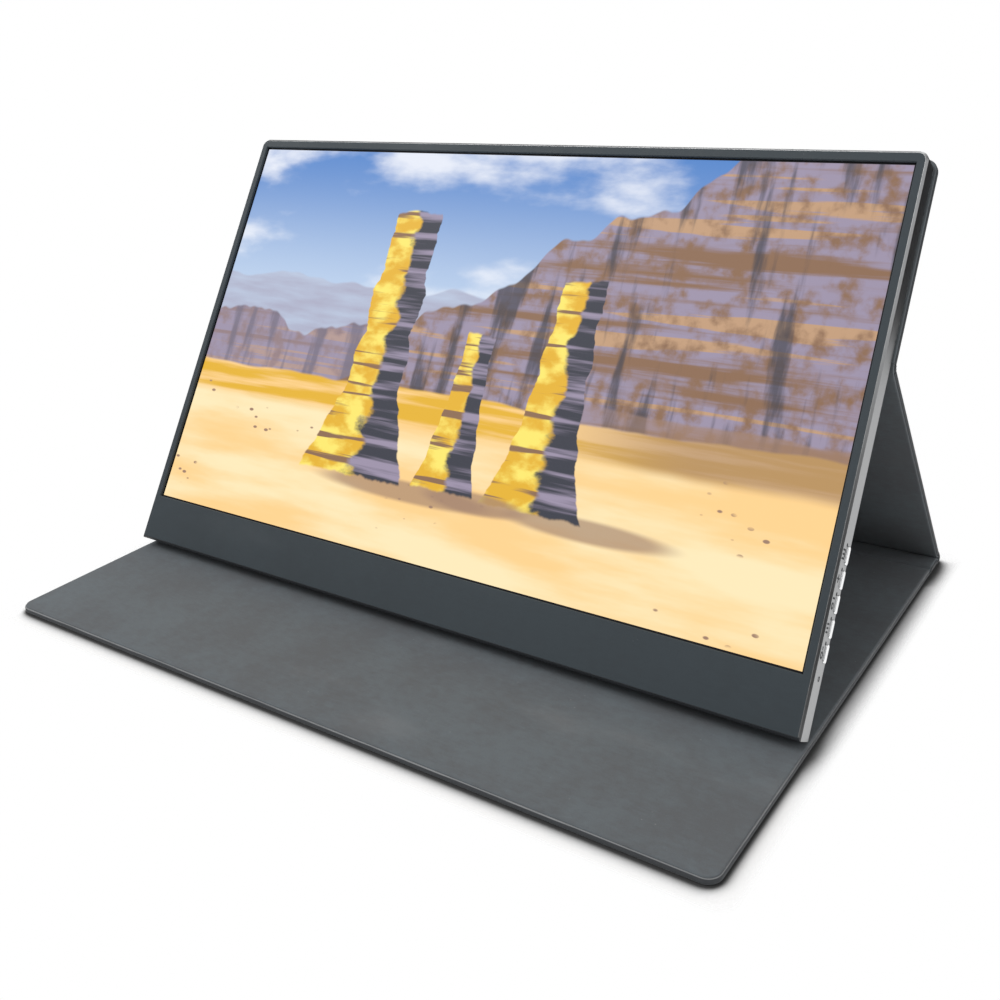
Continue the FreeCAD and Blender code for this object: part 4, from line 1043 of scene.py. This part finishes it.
class FoldStrips:
    """The three folds, where skin and lining are bonded with no board between."""

    HALF_WIDTH = CoverPanel.HALF_WIDTH
    CLOTH_HALF = 0.1776
    SKIN_LOW = -CoverPanel.HALF_THICKNESS
    SKIN_TOP = -0.0008
    CLOTH_TOP = -0.0001
    LINING_LEVEL = CoverPanel.HALF_THICKNESS
    DEPTH = LINING_LEVEL - CLOTH_TOP
    SPINE_LENGTH = 0.015
    STRUT_LENGTH = 0.150
    REACH = 0.002
    NOSE_REACH = 0.0036
    NOSE_BOTTOM = 0.0006
    CREASE_BEND = 0.0024
    BLEND_REACH = 0.0024
    NOSE_ENDS = ((0.0, 0.122548, -0.001427), (0.0, 0.125140, 0.003841))
    CREASE: Spot = (0.0, 0.031741, 0.120353)
    SCORE = 0.00018
    DIP = 0.45
    STEP = 0.0003
    NOSE = (SPINE_LENGTH - NOSE_REACH, STEP, NOSE_REACH - STEP, 0.0, STRUT_TURN, 20, NOSE_REACH)
    LEG = REACH - CREASE_BEND * math.tan(FOLD_TURN / 2)
    BACK = (STRUT_LENGTH - REACH, LEG / 2, LEG / 2, -CREASE_BEND, -FOLD_TURN, 14, LEG)

    def build(self, shop: Workshop) -> None:
        """Makes the bands.

        Args:
            shop: Where the finishes come from.
        """
        flap_ends = (BASE.spot(0.0, -self.BLEND_REACH, 0.0), BASE.spot(0.0, self.BLEND_REACH, 0.0))
        turn = (STRUT_TURN + SCREEN_TURN) / 2
        way = Vector((0.0, math.cos(turn), math.sin(turn))) * self.REACH
        back_ends = (tuple(Vector(self.CREASE) - way), tuple(Vector(self.CREASE) + way))
        thin_skin = (self.HALF_WIDTH, self.SKIN_LOW, self.SKIN_TOP)
        thin_cloth = (self.CLOTH_HALF, self.SKIN_TOP, self.CLOTH_TOP)
        thick_skin = (self.HALF_WIDTH, self.SKIN_LOW, self.CLOTH_TOP)
        thick_cloth = (self.CLOTH_HALF, self.CLOTH_TOP, self.LINING_LEVEL)
        bands = (
            ("flap_fold_strip", "flap", "spine", flap_ends,
             self._creased("flap_crease", *thin_skin, self.SKIN_LOW, self._scored),
             self._creased("flap_crease_cloth", *thin_cloth, self.CLOTH_TOP, self._dipped)),
            ("rear_fold_strip", "spine", "strut", self.NOSE_ENDS,
             self._bent("nose_bend", *thin_skin, self.NOSE).finish(BASE),
             self._settled(self._bent("nose_bend_cloth", *thin_cloth, self.NOSE))),
            ("mid_fold_strip", "strut", "monitor", back_ends,
             self._bent("back_crease", *thick_skin, self.BACK).finish(STRUT),
             self._bent("back_crease_cloth", *thick_cloth, self.BACK).finish(STRUT)),
        )
        for node, first, second, ends, skin, cloth in bands:
            shop.fit(skin, "cover_skin", None, node)
            shop.fit(cloth, "cover_lining", None)
            for band in (skin, cloth):
                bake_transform(band)

    def _scored(self, rise: float) -> float:
        """The skin's lift at the flap's fold, where it is scored along the middle."""
        return self.SCORE * (1.0 - rise)

    def _dipped(self, rise: float) -> float:
        """The lining's lift at the flap's fold, where it dips between the boards."""
        return self.DEPTH * (1.0 - self.DIP + self.DIP * rise)

    def _grow(self, work: Workpiece, way: Spot, length: float) -> None:
        """Extrudes the selected end in short steps.

        Args:
            work: The band, with its end face selected.
            way: The direction, of length 1.
            length: How far it grows.
        """
        count = max(1, round(length / self.STEP))
        for _ in range(count):
            work.extrude(tuple(part * length / count for part in way))

    @staticmethod
    def _rise(share: float) -> float:
        """A smooth rise from 0 at share 0 to 1 at share 1."""
        held = min(1.0, max(0.0, share))
        return held * held * (3.0 - 2.0 * held)

    def _lift(self, work: Workpiece, stretch: Place, level: float,
              lifts: Sequence[tuple[float, float]]) -> None:
        """Moves rows of points off a flat stretch, along its normal.

        Args:
            work: The band.
            stretch: The stretch's frame inside the band's own.
            level: Where the rows lie on its Z.
            lifts: Where each row lies on its Y, and how far it moves.
        """
        flat = stretch.matrix().inverted()
        normal = stretch.matrix().to_3x3() @ Vector((0.0, 0.0, 1.0))
        for row, lift in lifts:
            work.pick(Pick.POINTS, lambda point, _: abs((flat @ point).y - row) < self.STEP / 4
                      and abs((flat @ point).z - level) < self.STEP / 4)
            work.shift(tuple(normal * lift))

    def _creased(self, name: str, half: float, low: float, top: float, level: float,
                 lift: Callable[[float], float]) -> Piece:
        """One layer of the flap's fold, a flat band whose face is shaped in rows.

        Args:
            name: The band's name.
            half: Half its width.
            low: Its level on the skin's side.
            top: Its level on the lining's side.
            level: The level of the face that is shaped.
            lift: A row's lift, by its rise from 0 at the fold's middle to 1 at its sides.

        Returns:
            The band.
        """
        work = Workpiece(name, (-half, -self.REACH, low), (half, self.REACH, top))
        count = round(2 * self.REACH / self.STEP)
        rows = [-self.REACH + 2 * self.REACH * number / count for number in range(count + 1)]
        work.slice(1, rows[1:-1])
        lifts = [(row, lift(self._rise(abs(row) / self.REACH))) for row in rows]
        self._lift(work, Place(0.0, 0.0), level, lifts)
        return work.finish(BASE)

    def _bent(self, name: str, half: float, low: float, top: float,
              bend: tuple[float, ...]) -> Workpiece:
        """A band of a flat stretch, an arc about an axis along X and another flat stretch.

        Args:
            name: The band's name.
            half: Half its width.
            low: Its level on the skin's side.
            top: Its level on the lining's side.
            bend: Where the band starts, the lengths of its first block and of the rest of the stretch,
                the axis's level, the angle, the arc's steps and the last stretch's length.

        Returns:
            The band, still open for editing.
        """
        start, block, rest, level, angle, steps, last = bend
        work = Workpiece(name, (-half, start, low), (half, start + block, top))
        work.pick(Pick.FACES, lambda middle, normal: normal.y > 0.9)
        self._grow(work, (0.0, 1.0, 0.0), rest)
        work.spin((0.0, start + block + rest, level), angle, steps)
        self._grow(work, (0.0, math.cos(angle), math.sin(angle)), last)
        return work

    def _settled(self, work: Workpiece) -> Piece:
        """The nose's lining, which comes down from both panels' linings into the corner.

        Args:
            work: The lining's band, flat on top.

        Returns:
            The band, finished.
        """
        rows = [self.STEP * number for number in range(round(self.NOSE_REACH / self.STEP) + 1)]
        slope = self.NOSE_REACH - self.NOSE_BOTTOM
        lifts = [(row, self.DEPTH * self._rise((row - self.NOSE_BOTTOM) / slope)) for row in rows]
        self._lift(work, Place(self.SPINE_LENGTH, 0.0), self.CLOTH_TOP, [(-row, lift) for row, lift in lifts])
        self._lift(work, Place(self.SPINE_LENGTH, 0.0, STRUT_TURN), self.CLOTH_TOP, lifts)
        return work.finish(BASE)


STROKE = 0.0007


@dataclass(frozen=True)
class Stroke:
    """One stroke of a sign: a bar with rounded ends, or a ring where it has a radius.

    Attributes:
        up: Its middle, up the wall from the key's middle.
        length: A bar's size up the wall.
        width: A bar's size across the wall, or the width of a ring's line.
        out: Its middle, across the wall from the sign's middle.
        radius: Radius of a ring's middle line.
    """

    up: float
    length: float = STROKE
    width: float = STROKE
    out: float = 0.0
    radius: float = 0.0


class KeyMarks:
    """The printed signs beside the keys, small dark dots above the keys and a dark ring round the status
    light: thin dark marks on the right wall.
    """

    WALL = 0.177
    INK = 0.00004
    FIRST_KEY = 0.0316
    PITCH = 0.009
    LEVEL = 0.008
    DOT_RISE = 0.0036
    DOT_LEVEL = 0.0059
    DOT_RADIUS = 0.0007
    LIGHT = (0.0224, 0.0049)
    LIGHT_RING = 0.0008
    LIGHT_LINE = 0.0004
    END_ROUND = 0.4

    def build(self, shop: Workshop) -> None:
        """Makes a sign for each key, the dots above the keys and the status light's surround.

        Args:
            shop: Where the finishes come from.
        """
        keys = [self.FIRST_KEY + number * self.PITCH for number in range(len(SIGNS))]
        for key, (name, strokes) in zip(keys, SIGNS.items()):
            sign = self._join(name + "_sign", [self._draw(stroke, key) for stroke in strokes])
            shop.fit(sign, "mark_ink", "monitor")
        dots = [self._ring("dot", key + self.DOT_RISE, self.DOT_LEVEL, self.DOT_RADIUS / 2, self.DOT_RADIUS)
                for key in keys]
        shop.fit(self._join("key_dots", dots), "mark_ink", "monitor")
        ring = self._ring("light_surround", *self.LIGHT, self.LIGHT_RING, self.LIGHT_LINE)
        shop.fit(ring, "mark_ink", "monitor")

    def _draw(self, stroke: Stroke, key: float) -> Piece:
        """Makes one stroke of a sign beside a key, a ring or a bar with rounded ends.

        Args:
            stroke: The stroke.
            key: The key's height up the wall.

        Returns:
            The stroke's piece.
        """
        up, out = key + stroke.up, self.LEVEL + stroke.out
        if stroke.radius:
            return self._ring("ring", up, out, stroke.radius, stroke.width)
        half, side = stroke.length / 2, stroke.width / 2
        work = Workpiece("stroke", (self.WALL, up - half, out - side),
                         (self.WALL + self.INK, up + half, out + side))
        work.pick(Pick.EDGES, lambda middle, way: abs(way.x) > 0.9)
        work.bevel(min(stroke.length, stroke.width) * self.END_ROUND, 4)
        return work.finish(MONITOR)

    def _ring(self, name: str, up: float, out: float, radius: float, width: float) -> Piece:
        """A ring round a point of the wall.

        Args:
            name: The ring's name.
            up: The centre's height up the wall.
            out: The centre's level.
            radius: Radius of its middle line.
            width: Its width.

        Returns:
            The ring.
        """
        low = max(MM / 100, radius - width / 2)
        work = Workpiece(name, (self.WALL, up + low, out - MM / 100),
                         (self.WALL + self.INK, up + radius + width / 2, out))
        work.pick(Pick.FACES, lambda middle, normal: normal.z > 0.9)
        work.spin((self.WALL, up, out), 2 * math.pi, 20)
        return work.finish(MONITOR)

    @staticmethod
    def _join(name: str, strokes: Sequence[Piece]) -> Piece:
        """Joins strokes into one piece.

        Args:
            name: The piece's name.
            strokes: What it is made of.

        Returns:
            The piece.
        """
        bpy.ops.object.select_all(action="DESELECT")
        for stroke in strokes:
            stroke.select_set(True)
        bpy.context.view_layer.objects.active = strokes[0]
        bpy.ops.object.join()
        strokes[0].name = name
        strokes[0].data.name = name
        return strokes[0]


SIGNS = {
    "power": (Stroke(-0.0008, radius=0.0011), Stroke(0.0017, 0.0014)),
    "menu": tuple(Stroke(rise, width=0.0024) for rise in (-0.0015, 0.0, 0.0015)),
    "minus": (Stroke(-0.0010, radius=0.0010), Stroke(0.0018, width=0.0024)),
    "plus": (Stroke(0.0, width=0.003), Stroke(-0.00095, 0.0012), Stroke(0.00095, 0.0012)),
    "source": (Stroke(-0.0016, width=0.003), Stroke(0.0016, width=0.003), Stroke(0.0, 0.0026, out=-0.0012),
               Stroke(0.0, width=0.0018, out=0.0005)),
}


class Studio:
    """Floor, lamps, surroundings and camera.

    A lamp is given by its name, where it hangs, its width, its power in watts and whether it shows in
    reflections. A flag is given by its name, its radius and height, and the Y that it goes round to.
    """

    CAMERA_SPOT: Spot = (0.2938, -0.3798, 0.2518)
    CAMERA_WAY: Spot = (-0.5425, 0.7738, -0.3271)
    CAMERA_RIGHT: Spot = (0.8279, 0.5585, -0.0519)
    CAMERA_CLIP = 0.01
    LENS_MM = 40.81
    SENSOR_MM = 36.0
    SHIFT = (-0.0186, -0.0887)
    LAMPS = (
        ("key_lamp", (-1.3, -0.9, 2.0), 1.6, 34.0, True),
        ("side_lamp", (2.2, -0.4, 1.2), 1.4, 11.0, False),
        ("back_lamp", (-0.3, 1.8, 1.6), 1.6, 14.0, True),
    )
    AMBIENT = 0.5
    FLOOR_RADIUS = 4.0
    FLOOR_LEVEL = -0.0002
    PAPER = ((0.94, 0.94, 0.94), (0.96, 0.96, 0.96))
    FOOTPRINT = (0.178, 0.125)
    FADE = (0.002, 0.0105)
    COVERED = (0.1755, 0.1225)
    TOUCH = 0.000001
    CONTACT_WAY: Spot = (-0.45, 0.62, 0.64)
    CONTACT_REACH = 0.022
    SHADED = (0.48, 0.92)
    UNSHADED = (0.84, 1.0)
    DARKEST = 0.06
    FLAGS = (("side_flag", 0.56, 0.22, -1.0), ("back_flag", 0.565, 0.6, 0.2))
    FELT = ((0.01, 0.01, 0.011), (0.02, 0.02, 0.022))

    def build(self) -> None:
        """Sets the stage."""
        self._camera()
        self._floor()
        self._surroundings()
        for flag in self.FLAGS:
            self._flag(*flag)
        for lamp in self.LAMPS:
            self._lamp(*lamp)
        bpy.context.scene.view_settings.view_transform = "Standard"

    def _camera(self) -> None:
        """The photograph's view."""
        way, right = Vector(self.CAMERA_WAY).normalized(), Vector(self.CAMERA_RIGHT)
        right = (right - way * right.dot(way)).normalized()
        turned = Matrix((right, right.cross(way), -way)).transposed().to_4x4()
        data = bpy.data.cameras.new("camera")
        data.sensor_fit = "HORIZONTAL"
        data.sensor_width = self.SENSOR_MM
        data.lens = self.LENS_MM
        data.shift_x, data.shift_y = self.SHIFT
        data.clip_start = self.CAMERA_CLIP
        camera = bpy.data.objects.new("camera", data)
        camera.matrix_world = Matrix.Translation(self.CAMERA_SPOT) @ turned
        bpy.context.collection.objects.link(camera)
        bpy.context.scene.camera = camera

    def _floor(self) -> None:
        """A pale round floor that keeps the shadow, with a painted contact shadow round the part."""
        bpy.ops.object.select_all(action="DESELECT")
        bpy.ops.mesh.primitive_circle_add(vertices=ROUND, radius=self.FLOOR_RADIUS, fill_type="NGON",
                                          location=(0.0, 0.0, self.FLOOR_LEVEL))
        self._keep("floor", self._paper())

    def _paper(self) -> Material:
        """Builds the floor's material.

        Its colour is painted darker close to the part, where an occlusion measure leaning to the back left
        finds it:
        a painted contact shadow. Past that shadow the camera looks through it at the white surroundings, and
        so do all rays from below, so that panels which a pose swings below it still show.

        Returns:
            The material.
        """
        material, graph, shader = new_material("floor_paper")
        point = graph.object_point()
        paper = graph.mix(graph.noise(point, 8.0, 4.0), *self.PAPER)
        contact = graph.node("AmbientOcclusion", {"Distance": self.CONTACT_REACH,
                                                  "Normal": graph.join(*self.CONTACT_WAY)}, samples=32)
        open_sky = graph.out(contact, "AO")
        # Painted contact shadow: the paper's colour darkens where the occlusion measure finds the part.
        shade = open_sky.step(*self.SHADED).spread(self.DARKEST, 1.0)
        graph.feed(shader, {"Base Color": graph.mix(shade, (0.0, 0.0, 0.0), paper), "Roughness": 0.9,
                            "Specular IOR Level": 0.0})
        far = self._outside(graph, point, self.FOOTPRINT).step(*self.FADE)
        white = far * graph.ray("Transmission") | graph.ray("Glossy")
        lit = graph.between(white, graph.out(shader), graph.out(graph.node("Emission")))
        covered = self._outside(graph, point, self.COVERED) < self.TOUCH
        unshaded = far | open_sky.step(*self.UNSHADED) | covered
        below = graph.out(graph.node("NewGeometry"), "Backfacing")
        clear = graph.out(graph.node("BsdfTransparent"))
        surface = graph.between(unshaded * graph.ray("Camera") | below, lit, clear)
        graph.feed(material.node_tree.nodes["Material Output"], {"Surface": surface})
        return material

    @staticmethod
    def _outside(graph: Graph, point: Wire, halves: tuple[float, float]) -> Wire:
        """How far a point of the floor lies outside a rectangle about the origin, by its half sizes."""
        across, along = ((abs(axis) - half) | 0.0 for axis, half in zip(graph.split(point), halves))
        return graph.math("SQRT", across * across + along * along)

    def _flag(self, name: str, radius: float, height: float, behind: float) -> None:
        """Stands a curved dark card round the part, seen in reflections alone.

        Args:
            name: The card's name.
            radius: How far it stands from the origin.
            height: Its height.
            behind: It goes round as far as this Y.
        """
        bpy.ops.object.select_all(action="DESELECT")
        bpy.ops.mesh.primitive_cylinder_add(vertices=ROUND, radius=radius, depth=height,
                                            end_fill_type="NOTHING", location=(0.0, 0.0, height / 2))
        material, graph, shader = new_material(name + "_felt")
        graph.feed(shader, {"Base Color": graph.mix(graph.noise(graph.object_point(), 40.0), *self.FELT)})
        card = self._keep(name, material)
        bpy.ops.object.mode_set(mode="EDIT")
        bpy.ops.mesh.select_all(action="SELECT")
        bpy.ops.mesh.bisect(plane_co=(0.0, behind, 0.0), plane_no=(0.0, 1.0, 0.0), clear_inner=True)
        bpy.ops.object.mode_set(mode="OBJECT")
        for ray in ("camera", "diffuse", "transmission", "shadow"):
            setattr(card, "visible_" + ray, False)

    @staticmethod
    def _keep(name: str, material: Material) -> Piece:
        """Names the newest primitive, fixes its place in its mesh and puts it on the stage.

        Args:
            name: Its name.
            material: What it is made of.

        Returns:
            The object.
        """
        made = bpy.context.active_object
        made.name = name
        bpy.ops.object.transform_apply(location=True, rotation=True, scale=True)
        made.data.materials.append(material)
        return made

    def _surroundings(self) -> None:
        """White to the eye and in reflections, plain soft light otherwise."""
        world = bpy.data.worlds.new("studio")
        world.use_nodes = True
        bpy.context.scene.world = world
        graph = Graph(world.node_tree)
        seen = graph.ray("Camera") | graph.ray("Glossy") | graph.ray("Transmission")
        graph.feed(world.node_tree.nodes["Background"], {"Color": (1.0, 1.0, 1.0, 1.0),
                                                         "Strength": seen.spread(self.AMBIENT, 1.0)})

    @staticmethod
    def _lamp(name: str, spot: Spot, size: float, power: float, mirrored: bool) -> None:
        """Hangs a square soft lamp that faces the part.

        Args:
            name: The lamp's name.
            spot: Where it hangs.
            size: Its width.
            power: Its power in watts.
            mirrored: Whether it shows in reflections.
        """
        data = bpy.data.lights.new(name, "AREA")
        data.shape = "SQUARE"
        data.size = size
        data.energy = power
        lamp = bpy.data.objects.new(name, data)
        lamp.location = spot
        lamp.rotation_euler = (-Vector(spot)).to_track_quat("-Z", "Y").to_euler()
        lamp.visible_glossy = mirrored
        bpy.context.collection.objects.link(lamp)


PANELS = (
    CoverPanel("flap", "flap", BASE, -0.233, -0.002, Ends.FREE, Ends.FOLD, painted_rim_highlight=True,
               lining_inset=0.0005),
    CoverPanel("spine", "spine", BASE, 0.002, 0.0114, Ends.FOLD, Ends.FOLD),
    CoverPanel("strut", "strut", STRUT, 0.0036, 0.148, Ends.FOLD, Ends.FOLD),
    CoverPanel("upper", "monitor", UPPER, 0.002, 0.0845, Ends.FOLD, Ends.FREE),
)


def main() -> None:
    """Builds the sub-assemblies in order, dresses the nodes and sets the stage."""
    logging.basicConfig(level=logging.INFO, format="%(message)s")
    shop = Workshop()
    shop.dress_nodes()
    for panel in PANELS:
        panel.build(shop)
    FoldStrips().build(shop)
    KeyMarks().build(shop)
    Studio().build()


if __name__ == "__main__":
    main()
